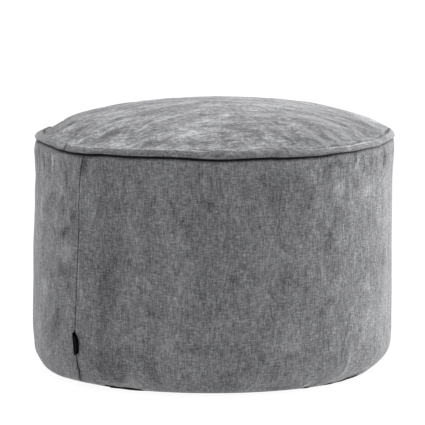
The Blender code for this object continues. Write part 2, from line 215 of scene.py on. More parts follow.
# Where the base cloth reaches out, the cover lifts off it and its edge curls up
BASE_REVEALS = table(
    "turn reach/mm lift/mm curl/mm",
    (-150, 1, 0.3, 0.2), (-95, 1.6, 0.6, 0.4), (-60, 0.3, 0, 0), (-41, 0.3, 0, 0), (-39, 5, 2.8, 0),
    (-34, 3.2, 1.7, 0), (-31, 4.8, 2.7, 0), (-27, 4.2, 2.1, 0), (-24.2, 0.2, 0, 0), (34, 0.2, 0, 0),
    (36, 2.8, 1.4, 0), (37.5, 2.8, 1.4, 0), (39.5, 0.2, 0, 0), (43, 0.2, 0, 0), (45.5, 1, 0.4, 0),
    (47, 3.6, 1.8, 0.4), (49, 3.6, 1.8, 0.4), (51.5, 0.8, 0.3, 0), (55, 4.4, 2.4, 1),
    (58, 5.2, 4, 2), (65, 5.2, 4, 2), (70, 1, 0.4, 0), (76, 0.2, 0, 0), (140, 1.4, 0.5, 0.4),
)

# Broad swells and hollows of the side
SIDE_SWELLS = table(
    "turn height/mm half_turn half_height/mm out/mm",
    (74, 16, 26, 22, -1.2), (28, 90, 34, 70, 0.7), (-30, 150, 30, 80, -0.6), (-60, 6, 18, 12, 2.6),
    (62, 5, 18, 10, -2), (34, 4, 9, 8, 1.4), (-82, 40, 24, 18, -2.2), (-74, 6, 34, 11, 4.6),
    (-90, 275, 30, 45, -1.1), (90, 275, 30, 45, -0.7), (130, 120, 36, 80, -1.2),
    (-140, 200, 36, 80, -1), (178, 60, 30, 50, -0.8),
)

# The side seam: its run, the groove and lap along it, and how dark and wide the painted shade along
# its line is
SIDE_SEAM = table(
    "height/mm turn",
    (0, -51.4), (7, -50.2), (15, -48.7), (25, -47.6), (35, -47.5), (45, -47.9), (80, -48.4),
    (130, -48.2), (180, -47.7), (260, -47.1), (294, -46.7), (310, -46), (321.5, -45),
)
SEAM_FOLDS = table(
    "height/mm depth/mm lap/mm",
    (0, 4, 1.2), (50, 3.2, 1), (100, 2.4, 0.9), (240, 2.8, 1.2), (310, 3.4, 1.4),
)
SEAM_PAINTED_SHADE = table("height/mm dark", (45, 1), (60, 0.95), (280, 0.85), (310, 1))
SEAM_WIDTHS = table("height/mm half_width/mm", (30, 3.2), (50, 1.1), (280, 1.2), (310, 1.6))
GROOVE_HALF_WIDTH = 0.0008
LAP_BESIDE = 0.0026
LAP_HALF_WIDTH = 0.0020

# Soft creases of the side: slant is from upright, positive leaning to +X on the way up
SIDE_CREASES = table(
    "turn height/mm slant half_length/mm half_width/mm out/mm",
    (48.7, 34, 4, 15, 2.4, 1.5), (-64.3, 306, 4, 14, 3, -1.6), (-61.8, 303, 6, 20, 3.4, 1.4),
    (-69.6, 300, 0, 12, 3.2, -1.4), (-72.4, 310, 0, 12, 3.4, 1.2), (-79, 294, 2, 18, 5, -1),
    (-54, 284, 0, 12, 3.4, -0.8), (46, 312, 70, 10, 4, -1.2), (52, 305, 40, 16, 5, -1),
    (23, 6, 88, 22, 2.4, -1.2), (34, 8.5, 20, 8, 5, 1.2),
)

# Soft creases of the crown: bearing is the way it runs, in degrees from +X towards +Y
CROWN_CREASES = table(
    "x/mm y/mm bearing half_length/mm half_width/mm out/mm",
    (176, -118, -30, 26, 5, 1.4), (160, -80, -34, 30, 8, -1.2), (-120, -140, 40, 30, 7, 0.8),
)

# Low lumps of the filling: their height, and how many there are in each metre
SIDE_LUMPS = table(
    "where out/mm scales seed",
    ("rim", 0.7, (95, 95, 16), 3.1), ("foot", 0.6, (80, 80, 18), 8.7),
    ("all", 0.9, (13, 13, 11), 21.3), ("all", 0.4, (42, 42, 30), 5.9),
)
CROWN_LUMPS = table(
    "where out/mm scales seed",
    ("stitch", 0.5, (70, 70, 0), 4.4), ("crown", 1.2, (12, 12, 0), 9.2),
    ("crown", 0.4, (34, 34, 0), 2.6),
)

# The ribbon's way out of the seam, round its fold and back
TAB_PATH = table(
    "out/mm along/mm top_drop/mm bottom_rise/mm",
    (0.1, -0.7, 0, 0), (2.8, -2.6, 4.2, -0.8), (5.2, -0.8, 5, -0.4), (5.6, 2.8, 7.2, 0.8),
    (4.7, 6.2, 10.8, 2), (3.2, 8, 13.2, 3), (2.1, 7, 11.8, 2.6), (2.4, 4.4, 7, 1.4),
    (1.8, 1.8, 3.6, 0.4), (0.1, 0.7, 1, 0),
)
TAB_TOP_HEIGHT = 0.0795
TAB_BOTTOM_HEIGHT = 0.0455
TAB_THICKNESS = 0.0008
TAB_TAPER = 0.62
TAB_SPACING = 0.0008
TAB_LEVELS = 10
# Where the painted highlight along the fold of the ribbon lies
TAB_HIGHLIGHT_AT = 0.0115
TAB_HIGHLIGHT_HALF_WIDTH = 0.0005

# Layers of the nap: scales are fibres for each metre, across, back and up; relief is in mm
SIDE_WEAVE = table(
    "along scales detail weight relief",
    ("thread", (540, 540, 85), 1, 1.04, 0.4), ("thread", (120, 120, 540), 1, 0.98, 0.3),
    ("cloth", (620, 620, 620), 1, 1.08, 0.2), ("thread", (170, 170, 110), 2, 0.28, 0.2),
    ("thread", (52, 52, 24), 2, 0.24, 1), ("cloth", (21, 21, 9), 2, 0.46, 3.8),
)
TOP_WEAVE = table(
    "along scales detail weight relief",
    ("thread", (110, 110, 620), 1, 1.3, 0.3), ("thread", (420, 420, 160), 1, 0.55, 0.3),
    ("cloth", (560, 560, 560), 1, 1.1, 0.2), ("thread", (44, 44, 60), 2, 0.3, 1),
)
TOP_BRUSHING = table(
    "along scales detail weight relief",
    ("thread", (170, 260, 260), 2, 1.8, 0.5), ("cloth", (460, 460, 460), 2, 1.25, 0.3),
    ("brush", (40, 120, 80), 2, 1.19, 0.8), ("brush", (16, 50, 40), 2, 1.15, 1.5),
    ("cloth", (13, 18, 15), 2, 0.8, 1),
)

# How strongly the patches show in front and behind, nap and the painted light among them
SIDE_PATCH_STRENGTHS = (2.0, 1.2)
CROWN_PATCH_STRENGTHS = (1.5, 0.9)

# Patches of nap lying lighter or darker: on the side by turn and height, on the crown by x and y.
# Among the side's are painted highlights and shade on the folds and puckers under the rim and on
# the wrinkle near the foot, and painted shade along the foot
SIDE_PATCHES = table(
    "turn height/mm slant half_length/mm half_width/mm shade/%",
    (-62, 285, 0, 50, 35, 4), (-62, 120, 0, 80, 30, -3), (-72.2, 316.5, 0, 4, 3, 22),
    (-69.5, 299, 0, 8, 2.5, -16), (-62.4, 303, 6, 14, 2.8, 22), (-64.4, 308, 0, 8, 2.4, -14),
    (-60.4, 301, 0, 9, 1.8, 14), (-62.5, 318.5, 80, 10, 2.8, -19), (-78, 296, 0, 13, 5, 14),
    (-75, 315, 60, 12, 6, -20), (-72.2, 231, 0, 14, 6, 22), (-70.5, 254, 0, 8, 3, -16),
    (-63.2, 256, 60, 8, 5, -9), (-54, 282, 0, 12, 2.8, -11), (-50.3, 236, 0, 11, 6, -9),
    (-57, 207, 60, 12, 6, -11), (-52.5, 187, 0, 9, 9, 6), (-71, 206, 0, 8, 9, -9),
    (-58, 273, 0, 20, 9, 14), (-67, 270, 0, 12, 6, 11), (-49.5, 284, -8, 12, 4, 14),
    (-44, 257, 0, 13, 8, 7), (-8, 253, 0, 12, 6, 7), (-20, 277, 20, 14, 12, 5),
    (-27, 228, -25, 14, 6, 10), (-24, 208, -10, 16, 8, 7), (-13, 214, 0, 22, 18, 6),
    (-53, 183, 60, 14, 9, 10), (-44.5, 306, 0, 12, 8, -20), (-58, 250, 40, 11, 9, -16),
    (-39, 248, 0, 17, 2.5, -9), (-22.5, 278, -30, 28, 3, -13), (-11.5, 250, -26, 32, 3.2, -11),
    (-2, 267, -62, 11, 3, -10), (-51, 233, 0, 8, 3.5, -14), (-55, 211, 75, 14, 6, -19),
    (-36, 213, 0, 8, 6, -8), (-67, 226, 0, 8, 4, -11), (-55, 157, 80, 18, 9, -22),
    (-26, 195, 0, 6, 6, -8), (-38, 172, 0, 34, 22, -7), (-37, 275, 0, 36, 10, -5),
    (-37, 304, 85, 12, 4, -9), (-4, 304, 80, 16, 7, -5), (32.5, 296, 0, 12, 5, 11),
    (52, 306, 0, 10, 8, 14), (58, 268, 70, 18, 12, 16), (46, 283, 0, 12, 9, 13),
    (46, 203, 0, 18, 13, 11), (18, 190, 0, 8, 6, 8), (7, 253, 70, 9, 4, 8), (66, 228, 0, 13, 7, 8),
    (6, 273, 0, 13, 9, 5), (39, 308, 30, 6, 3.5, -26), (43, 309, -20, 6, 3.5, -22),
    (60, 304, 0, 10, 11, -22), (70, 303, 0, 12, 9, -22), (63, 290, -20, 8, 6, -10),
    (38.5, 292, 15, 11, 6, -4), (32, 269, 5, 15, 4, -10), (42, 234, 34, 30, 5.5, -3),
    (39, 204, 0, 15, 8, -9), (52, 226, 0, 10, 6, -8), (24, 202, -72, 20, 3.5, -10),
    (61.5, 237, 0, 14, 5, -8), (60, 171, 0, 7, 6, -10), (15.5, 300, 0, 8, 6, -7),
    (4, 236, -50, 12, 3, -6), (-68, 122, 0, 13, 10, 22), (-73, 73, 0, 13, 10, 11),
    (-31, 92, 0, 10, 6, 12), (-27.5, 129, -70, 11, 7, 8), (-21.5, 155, -12, 14, 5, 8),
    (-15, 63, -20, 22, 13, 7), (-6, 36, 0, 12, 12, 8), (-3, 84, 80, 9, 3, 8),
    (-46.3, 125, 0, 18, 3, 11), (-65, 36, 0, 8, 7, 11), (-46, 43, 0, 12, 4, 11),
    (-59.5, 80, 12, 24, 8, -20), (-52.5, 137, 0, 10, 7, -11), (-36, 97, 0, 26, 6, -8),
    (-19, 112, -62, 15, 3.5, -11), (-26, 55, 75, 18, 8, -8), (-31.5, 18, 80, 10, 5, -16),
    (-19, 25, -20, 10, 5, -8), (-16, 158, -20, 9, 3.5, -9), (-29, 37, 80, 9, 5, -9),
    (44.5, 152, 15, 18, 5.5, 15), (37.5, 161, 5, 11, 4, 11), (57, 138, 75, 13, 7, 9),
    (14.5, 122, 8, 19, 8, 8), (57, 80, 0, 21, 10, 10), (3, 93, 0, 20, 14, 6),
    (24.5, 69, 80, 13, 8, 8), (32, 74, 0, 10, 5, 8), (48.7, 34, 4, 14, 2.2, 30),
    (34, 8, 0, 6, 6, 16), (38.5, 33, 0, 9, 5, 9), (-1, 68, 80, 22, 8, -7),
    (24, 156, 70, 13, 8, -12), (30.5, 155, 0, 20, 5, -8), (39, 122, 30, 10, 6, -9),
    (36, 108, 30, 8, 5, -10), (6, 160, 0, 6, 5, -13), (23, 5.5, 88, 20, 3, -18),
    (47, 77, 10, 13, 3, -13), (45.5, 55, 20, 13, 3, -10), (51, 53, 0, 6, 4, -10),
    (25.5, 52, 85, 13, 5, -9), (16, 51, 20, 12, 5, -8), (20, 30, 0, 8, 5, -8),
    (1.5, 122, 0, 7, 5, -9), (37, 39, 0, 10, 4, -8), (62, 150, 0, 10, 5, -10),
    (70, 166, 0, 10, 6, -10), (8, 72, 0, 13, 8, -6), (-38, 85, 0, 75, 24, -7),
    (-37, 28, 85, 34, 20, -10), (28, 120, 0, 90, 22, 5.5), (32, 36, 60, 26, 18, 7),
    (15, 190, 0, 30, 16, 4.5), (22, 312, 88, 75, 12, 7.5), (-60, 309, 88, 20, 10, 11),
    (-78, 190, 0, 45, 22, 13), (64, 200, 0, 40, 14, -5), (70, 165, 0, 25, 16, -6),
    (69, 310, 88, 12, 8, -10), (43, 273, 0, 14, 16, 10), (44, 90, 0, 40, 22, 4.5),
    (-35, 150, 0, 30, 14, -7), (-5, 12, 88, 70, 15, -12),
)
CROWN_PATCHES = table(
    "x/mm y/mm bearing half_length/mm half_width/mm shade/%",
    (170, -80, 0, 85, 90, -7), (-138, -199, 56, 28, 8, 28), (-36, -188, 54, 34, 20, 21),
    (-3, -138, 54, 28, 16, 21), (-123, -97, 60, 18, 8, 26), (-68, -116, 55, 15, 8, 18),
    (-76, -222, 30, 8, 5, 21), (-169, -182, 20, 9, 6, 18), (-218, -108, 60, 12, 6, 13),
    (-150, -75, 60, 14, 8, 10), (0, -190, 20, 12, 9, 10), (-140, -152, 28, 26, 11, -21),
    (-127, -79, 60, 19, 6, -16), (-45, -42, 8, 34, 11, -16), (-20, -108, 8, 18, 7, -12),
    (-31, -136, 40, 10, 6, -14), (-84, -200, 60, 17, 14, -13), (-195, -112, 50, 16, 12, -16),
    (-170, -89, 50, 12, 10, -16), (-111, -220, 20, 8, 5, -18), (-94, -78, 50, 20, 8, -13),
    (-205, -90, 50, 12, 8, -10), (56, -215, -15, 12, 6, 18), (177, -122, -66, 28, 5, 12),
    (158, -88, -50, 12, 7, 10), (105, -68, 0, 10, 6, 12), (24, -112, 0, 14, 8, 8),
    (150, -70, -40, 14, 7, 6), (43, -179, 0, 6, 10, -14), (74, -148, 5, 22, 14, -13),
    (118, -190, -10, 24, 15, -13), (166, -178, -30, 10, 10, -14), (186, -98, -62, 22, 6, -14),
    (222, -72, -50, 20, 12, -12), (126, -107, 0, 15, 11, -10), (87, -108, 0, 12, 7, -10),
    (5, -24, 0, 22, 11, -14), (153, -140, -30, 10, 10, -8), (30, -160, 0, 14, 10, -8),
    (190, -150, -50, 12, 8, -8), (18, -108, 70, 20, 13, 21), (-127, -168, 60, 14, 8, 20),
    (-127, -140, 60, 14, 8, -18), (-84, -166, 50, 16, 10, -9), (54, -46, 60, 12, 10, -10),
    (85, -130, 60, 14, 8, -7), (175, -58, -40, 18, 12, 11), (142, -96, -40, 12, 10, 8),
    (-147, -180, 56, 18, 10, 15), (-20, -170, 50, 10, 8, -13), (-22, -206, 60, 14, 8, 10),
)

# The stage
FLOOR_RADIUS = 1.7
FLOOR_DROP = 0.0002
LIT_MIDDLE = (0.0, 0.0, 0.2)
LIGHTS = table(
    "name place size power",
    ("top_light", (0.2, 0.0, 2.4), (3.0, 3.0), 64),
    ("right_light", (2.2, 1.1, 0.65), (1.6, 1.8), 100),
    ("left_light", (-1.9, 1.3, 1.5), (1.2, 1.8), 27),
)
CAMERA_LENS = 489.0
CAMERA_ELEVATION = 8.05
CAMERA_AIM = (-0.0004, 0.0, 0.218)
CAMERA_DISTANCE = 8.03


# -------------------- shape helpers


def eased(share):
    share = np.clip(share, 0.0, 1.0)
    return share * share * (3 - 2 * share)


def rising(values, start, reach):
    """0 up to the start and 1 beyond the reach after it, eased between."""
    return eased((values - start) / reach)


def bell(distance, half_width):
    return np.exp(-((distance / half_width) ** 2))


def at_least(least, share):
    """A share from 0 to 1, raised so that it runs from the least to 1."""
    return least + (1 - least) * share


def unit(vectors):
    return vectors / np.linalg.norm(vectors, axis=-1, keepdims=True)


def distances(points):
    """How far along a line each of its points lies."""
    return np.concatenate([[0], np.cumsum(np.linalg.norm(np.diff(points, axis=0), axis=1))])


def apart(first, second):
    """Degrees from the second turn to the first, the short way round."""
    return (first - second + 180) % 360 - 180


def read(rows, along, column, places):
    """One column of a table at places along another, straight from row to row."""
    known = [getattr(row, along) for row in rows]
    return np.interp(places, known, [getattr(row, column) for row in rows])


def around(rows, turns, column):
    """One column of a table at each turn, eased from row to row all the way round."""
    starts, values = np.array([(row.turn, getattr(row, column)) for row in rows], float).T
    starts = np.append(starts, starts[0] + 360)
    values = np.append(values, values[0])
    turned = starts[0] + np.mod(turns - starts[0], 360)
    index = np.clip(np.searchsorted(starts, turned, side="right") - 1, 0, len(rows) - 1)
    share = eased((turned - starts[index]) / (starts[index + 1] - starts[index]))
    return values[index] * (1 - share) + values[index + 1] * share


def rim_around(turns):
    """How the rim is shaped at each turn, by the columns of its tables."""
    tables = (RIM_WAVES, RIM_SAGS, RIM_ROLLS, RIM_GAPS, STITCH_PULLS)
    found = {name: around(rows, turns, name) for rows in tables for name in rows[0]._fields[1:]}
    return SimpleNamespace(**found)


def seam_turn(heights):
    return read(SIDE_SEAM, "height", "turn", heights)


def on_drum(radius, turns, heights):
    """Points at a radius, turn and height, where the drum leans a little towards +X going up."""
    radius, turns, heights = np.broadcast_arrays(radius, turns, heights)
    angle = np.radians(turns)
    lean = DRUM_LEAN * (heights / RIM_SEAM_HEIGHT - 0.5)
    return np.stack([lean + radius * np.sin(angle), -radius * np.cos(angle), heights], axis=-1)


def beside_seam(out, along, heights):
    """Points out from the drum and forward along it from the side seam, at each height."""
    turns = seam_turn(heights)
    radius = DRUM_RADIUS + creased(turns, heights)
    angle = np.radians(turns)
    forward = np.stack([np.cos(angle), np.sin(angle), np.zeros_like(angle)], axis=-1)
    return on_drum(radius + out, turns, heights) + forward * along[:, None]


def spaced_turns(fine_at):
    """Turns all the way round, closer together near one turn."""
    even = np.arange(-180, 180, COLUMN_STEP)
    kept = even[np.abs(apart(even, fine_at)) > FINE_REACH + FINE_STEP]
    fine = np.arange(fine_at - FINE_REACH, fine_at + FINE_REACH + FINE_STEP / 2, FINE_STEP)
    return np.sort(np.concatenate([kept, fine]))


def spread(turns, *values):
    """One row of a grid: each value at each turn."""
    return np.stack(np.broadcast_arrays(turns, *values)[1:], axis=-1)


def through(rows, spacing):
    """Rows on a smooth run through the given rows, whose first two columns are so far apart."""
    rows = np.asarray(rows)
    chords = np.linalg.norm(np.diff(rows[..., :2], axis=0), axis=2).mean(axis=1)
    steps = np.sqrt(chords)
    slopes = np.diff(rows, axis=0) / steps[:, None, None]
    before, after = steps[:-1, None, None], steps[1:, None, None]
    inner = (slopes[:-1] * after + slopes[1:] * before) / (before + after)
    tangents = [slopes[0], *inner, slopes[-1]]
    run = []
    for index, step in enumerate(steps):
        count = max(int(round(chords[index] / spacing)), 1)
        for s in np.arange(count) / count:
            run.append(
                (1 + 2 * s) * (1 - s) ** 2 * rows[index]
                + s * s * (3 - 2 * s) * rows[index + 1]
                + s * (1 - s) ** 2 * step * tangents[index]
                - s * s * (1 - s) * step * tangents[index + 1]
            )
    run.append(rows[-1])
    return np.array(run)


def woven_over(turns, radii, heights, level):
    """Where each point lies on its cloth, were the cloth rolled out straight up from a level."""
    run = np.hypot(np.diff(radii, axis=0), np.diff(heights, axis=0)).mean(axis=1)
    along = np.concatenate([[0], np.cumsum(run)])
    along += level - np.interp(level, heights.mean(axis=1), along)
    return on_drum(DRUM_RADIUS, turns, along[:, None])


def clouds(points, scales, seed):
    """Smooth noise between about -1 and 1 at each point, at its own scale along each axis."""
    flat = points.reshape(-1, 3) * np.array(scales) + seed
    return np.array([noise.noise(p) for p in flat]).reshape(points.shape[:-1])


def new_piece(name, points, faces):
    """A smooth mesh object."""
    mesh = bpy.data.meshes.new(name)
    mesh.from_pydata(points, [], faces)
    mesh.shade_smooth()
    piece = bpy.data.objects.new(name, mesh)
    bpy.context.collection.objects.link(piece)
    return piece


def between(rings):
    """The faces between each ring of point numbers and the next."""
    beside = np.roll(rings, -1, axis=-1)
    corners = [rings[..., :-1, :], beside[..., :-1, :], beside[..., 1:, :], rings[..., 1:, :]]
    return np.stack(corners, axis=-1).reshape(-1, 4)


def closed_skin(name, rings, low_tip, high_tip, marks):
    """A closed piece over rings of equal count, from the lowest ring outwards and up.

    marks are named values at each point of the rings, which the finishes read.
    """
    points = np.concatenate([rings.reshape(-1, 3), [low_tip, high_tip]])
    count = len(points) - 2
    grid = np.arange(count).reshape(rings.shape[:2])
    faces = between(grid).tolist()
    for ring, tip in ((grid[0, ::-1], count), (grid[-1], count + 1)):
        pairs = np.stack([ring, np.roll(ring, -1)], axis=-1).tolist()
        faces += [[*pair, tip] for pair in pairs]
    piece = new_piece(name, points.tolist(), faces)
    for mark, values in marks.items():
        tips = np.stack([values[0].mean(axis=0), values[-1].mean(axis=0)])
        values = np.concatenate([values.reshape(count, *tips.shape[1:]), tips])
        kind, field = ("FLOAT", "value") if values.ndim == 1 else ("FLOAT_VECTOR", "vector")
        piece.data.attributes.new(mark, kind, "POINT").data.foreach_set(field, values.ravel())
    return piece


def settled(rows, loose):
    """Rows of points round the drum after the cloth over them is filled and settles.

    The first and last rows are sewn down. loose is the share of the most slack that the cloth
    has at each point.
    """
    grid = np.arange(rows[..., 0].size).reshape(rows.shape[:2])
    cloth = new_piece("settling", rows.reshape(-1, 3).tolist(), between(grid).tolist())
    sewn = cloth.vertex_groups.new(name="sewn")
    sewn.add(grid[0].tolist() + grid[-1].tolist(), 1.0, "REPLACE")
    taut = cloth.vertex_groups.new(name="taut")
    for point, share in enumerate(loose.ravel().tolist()):
        taut.add([point], 1 - share, "REPLACE")
    filling = cloth.modifiers.new("filling", "CLOTH")
    for name, value in FILLED_CLOTH.items():
        setattr(filling.settings, name, value)
    filling.settings.effector_weights.gravity = 0
    filling.collision_settings.use_collision = False
    filling.collision_settings.use_self_collision = False
    filling.point_cache.frame_start = 1
    filling.point_cache.frame_end = SETTLE_FRAMES
    for step in range(1, SETTLE_FRAMES + 1):
        bpy.context.scene.frame_set(step)
    found = cloth.evaluated_get(bpy.context.evaluated_depsgraph_get()).data
    after = np.zeros(rows.size)
    found.vertices.foreach_get("co", after)
    mesh = cloth.data
    bpy.data.objects.remove(cloth)
    bpy.data.meshes.remove(mesh)
    bpy.context.scene.frame_set(1)
    return after.reshape(rows.shape)


def without_wide_waves(away):
    """Folds without their wide swells, so that the drum keeps its outline, and none too high."""
    waves = np.fft.rfft(away, axis=1)
    waves[:, :WIDE_WAVES] = 0
    folds = np.fft.irfft(waves, n=away.shape[1], axis=1)
    return SETTLE_CAP * np.tanh(folds / SETTLE_CAP)


def on_grid(turns, levels, grid):
    """The value of a grid of folds at each turn and level, a height or a radius."""
    grid_turns, grid_levels, values = grid
    across = np.mod(turns - grid_turns[0], 360) / SETTLE_STEP
    up = np.clip((levels - grid_levels[0]) / SETTLE_ROW, 0, len(grid_levels) - 1.001)
    left, below = across.astype(int), up.astype(int)
    right = (left + 1) % len(grid_turns)
    side, rise = eased(across - left), eased(up - below)
    low = values[below, left] * (1 - side) + values[below, right] * side
    high = values[below + 1, left] * (1 - side) + values[below + 1, right] * side
    return low * (1 - rise) + high * rise


def lying(side, up, bearing, shape):
    """The share of a long soft shape at each place beside its middle."""
    run = math.radians(bearing)
    along = side * math.cos(run) + up * math.sin(run)
    across = up * math.cos(run) - side * math.sin(run)
    return bell(along, shape.half_length) * bell(across, shape.half_width)


def lumps(points, rows, near):
    """The lumps of a table at each point, each where it is near the part that it names."""
    return sum(row.out * near[row.where] * clouds(points, row.scales, row.seed) for row in rows)


# -------------------- the side

# Where parts of the side begin by height, and how far above that they are reached in full
OFF_BASE = (0.004, 0.012)
OFF_FOOT = (0.004, 0.040)
FOLDS_BEGIN = (0.012, 0.025)
TOWARDS_RIM = (0.240, 0.080)
NEAR_RIM = (0.262, 0.055)
UNDER_BAND = (0.312, 0.009)
IN_CREASE = (0.313, 0.007)
# The same by radius
PAST_BASE = (0.2180, 0.0060)
PAST_CREASE = (0.238, 0.006)
# How far the crease under the rim closes, and how much painted shade it still has there
CREASE_CLOSES = 0.0010
CLOSED_CREASE_SHADE = 0.3
# The least radius of the foot where it turns up
FOOT_RADIUS = 0.2185
# The cloth that settles: its heights, its least slack, and how uneven it starts
SIDE_FOLD_HEIGHTS = (0.012, 0.3171)
SIDE_LOOSE_HIGH = (0.250, 0.055)
SIDE_LOOSE_LOW = (0.020, 0.040)
SIDE_LOW_SLACK = 0.6
SIDE_LEAST_SLACK = 0.25
SIDE_UNEVEN = 0.0006
# The side keeps to its joint within this reach of it, and to its seam's run within this turn
SIDE_JOINT_HEIGHT = 0.3214
SIDE_JOINT_REACH = 0.004
SEAM_HALF_TURN = 14
# A painted highlight along the lap of the seam, and painted shade along the foot
LAP_HIGHLIGHT = 0.20
LAP_HIGHLIGHT_BESIDE = 0.0028
LAP_HIGHLIGHT_HALF_WIDTH = 0.0012
FOOT_SHADE = 0.05
FOOT_SHADE_HEIGHT = 0.002
FOOT_SHADE_HALF_HEIGHT = 0.014
# How ragged the edges of patches are
FRAY_SCALES = (70, 70, 70)
FRAY_SEEDS = (14.2, 33.8)
FRAY_SHARE = 0.8
FRAY_MOST = 0.006


def creased(turns, heights):
    """How far the listed swells and creases stand out at each turn and height."""
    out = np.zeros(np.broadcast(turns, heights).shape)
    for swell in SIDE_SWELLS:
        share = bell(apart(turns, swell.turn), swell.half_turn)
        out += swell.out * share * bell(heights - swell.height, swell.half_height)
    for crease in SIDE_CREASES:
        side = np.radians(apart(turns, crease.turn)) * DRUM_RADIUS
        out += crease.out * lying(side, heights - crease.height, 90 - crease.slant, crease)
    return out


def seam_relief(across, heights):
    """The groove of the side seam, with the fold of its lap standing up beside it."""
    groove = read(SEAM_FOLDS, "height", "depth", heights) * bell(across, GROOVE_HALF_WIDTH)
    lap = read(SEAM_FOLDS, "height", "lap", heights) * bell(across - LAP_BESIDE, LAP_HALF_WIDTH)
    return lap - groove


def side_grid(turns, spacing):
    """Rows of the side cover at each turn, from under its foot to its top joint.

    Each row has a radius, height and painted shade, which darkens it under the foot and in the
    crease.
    """
    rim = rim_around(turns)
    lift = around(BASE_REVEALS, turns, "lift")
    edge = BASE_RADIUS + around(BASE_REVEALS, turns, "reach") + SEWN_GAP
    over_base = BASE_THICKNESS + SEWN_GAP
    # Over the base cloth, then out round its edge, in painted shade under the foot
    rows = [
        spread(turns, BASE_FLAT_RADIUS, over_base, 1.0),
        spread(turns, edge, over_base + lift, 1.0),
        spread(turns, edge + 0.0004, 0.0006 + lift, 0.6),
        spread(turns, np.maximum(edge + 0.0014, FOOT_RADIUS), 0.0014 + lift, 0.0),
    ]
    for row in SIDE_ROWS:
        near_base = 1 - rising(row.height, *OFF_BASE)
        near_rim = rising(row.height, *TOWARDS_RIM)
        closed = rising(row.height, *IN_CREASE) * rising(row.radius, *PAST_CREASE)
        height = row.height + near_base * lift + near_rim * rim.wave
        height = height + CREASE_CLOSES * (1 - rim.gap) * closed
        radius = row.radius - FOOT_ROLL * rim.roll * rising(row.height, *UNDER_BAND)
        rows.append(spread(turns, radius, height, row.tuck * at_least(CLOSED_CREASE_SHADE, rim.gap)))
    rows.append(spread(turns, RIM_SEAM_RADIUS, RIM_SEAM_HEIGHT - SEWN_GAP, 1.0))
    return through(rows, spacing)


def side_folds():
    """(turns, heights, folds): how far the filled side cover stands out of its plain shape."""
    turns = np.arange(-180, 180, SETTLE_STEP)
    heights = np.arange(*SIDE_FOLD_HEIGHTS, SETTLE_ROW)
    at, up = np.meshgrid(turns, heights)
    start = read(SIDE_ROWS, "height", "radius", up) + creased(at, up)
    start = start + SIDE_UNEVEN * clouds(on_drum(start, at, up), (60, 60, 14), 6.3)
    near_seam = rising(up, *SIDE_LOOSE_HIGH) + SIDE_LOW_SLACK * (1 - rising(up, *SIDE_LOOSE_LOW))
    loose = at_least(SIDE_LEAST_SLACK, np.minimum(near_seam, 1.0))
    loose = loose * around(SIDE_SLACK, at, "share")
    after = settled(on_drum(start, at, up), loose)
    away = np.linalg.norm((after - on_drum(0.0, 0.0, up))[..., :2], axis=-1) - start
    return turns, heights, without_wide_waves(away)


def side_points(spacing):
    """The points of the side cover, and what its finish reads at each."""
    middle = float(seam_turn(RIM_SEAM_HEIGHT / 2))
    turns = spaced_turns(middle)
    radii, heights, tuck = np.moveaxis(side_grid(turns, spacing), -1, 0)
    across = np.radians(turns - middle) * DRUM_RADIUS
    leaned = turns + (seam_turn(heights) - middle) * bell(turns - middle, SEAM_HALF_TURN)
    under_rim = SIDE_JOINT_HEIGHT + around(RIM_WAVES, turns, "wave") - heights
    free = rising(radii, *PAST_BASE) * rising(under_rim, 0.0, SIDE_JOINT_REACH)
    plain = on_drum(DRUM_RADIUS, leaned, heights)
    foot = 1 - rising(heights, *OFF_FOOT)
    near = {"rim": rising(heights, *NEAR_RIM), "foot": foot, "all": 1.0}
    out = creased(leaned, heights) + seam_relief(across, heights) + lumps(plain, SIDE_LUMPS, near)
    out += rising(heights, *FOLDS_BEGIN) * on_grid(leaned, heights, side_folds())
    ragged, frayed = (clouds(plain, FRAY_SCALES, seed) for seed in FRAY_SEEDS)
    # A painted highlight along the lap of the seam, and painted shade along the foot
    lap = bell(across - LAP_HIGHLIGHT_BESIDE, LAP_HIGHLIGHT_HALF_WIDTH)
    shaded_foot = bell(heights - FOOT_SHADE_HEIGHT, FOOT_SHADE_HALF_HEIGHT)
    nap_and_painted_light = LAP_HIGHLIGHT * lap - FOOT_SHADE * shaded_foot
    # The patches: nap lying lighter or darker, with painted highlights and shade among them
    for patch in SIDE_PATCHES:
        fray = min(FRAY_SHARE * patch.half_width, FRAY_MOST)
        up = heights - patch.height + fray * frayed
        # The back is brushed like the front, turned half way round, but less
        for half_way, strength in enumerate(SIDE_PATCH_STRENGTHS):
            turned = patch.turn + 180 * half_way
            side = np.radians(apart(leaned, turned)) * DRUM_RADIUS + fray * ragged
            nap_and_painted_light += strength * patch.shade * lying(side, up, 90 - patch.slant, patch)
    # Painted shade along the seam's groove
    width = read(SEAM_WIDTHS, "height", "half_width", heights)
    seam = read(SEAM_PAINTED_SHADE, "height", "dark", heights) * bell(across, width)
    # The nap mark carries painted highlights and shade as well as the nap
    marks = {
        "nap": nap_and_painted_light,
        "tuck": np.clip(np.maximum(tuck, seam), 0.0, 1.0),
        "woven": woven_over(leaned, radii, heights, RIM_SEAM_HEIGHT / 2),
    }
    return on_drum(radii + out * free, leaned, heights), marks


# -------------------- the top

# Where parts of the top begin by radius, and how far out they are reached in full
SAGS_FROM = (0.205, 0.030)
ROLLS_FROM = (0.205, 0.033)
DRAWS_FROM = (0.235, 0.012)
CROWN_ENDS = (0.2345, 0.010)
CROWN_FOLDS_FROM = (0.060, 0.040)
# The same by rise, for the notch where the stitching starts and the nap where it is slack
NOTCH_FROM = (0.0, 0.003)
SLACK_FROM = (0.004, 0.004)
SLACK_BRUSHED = 0.9
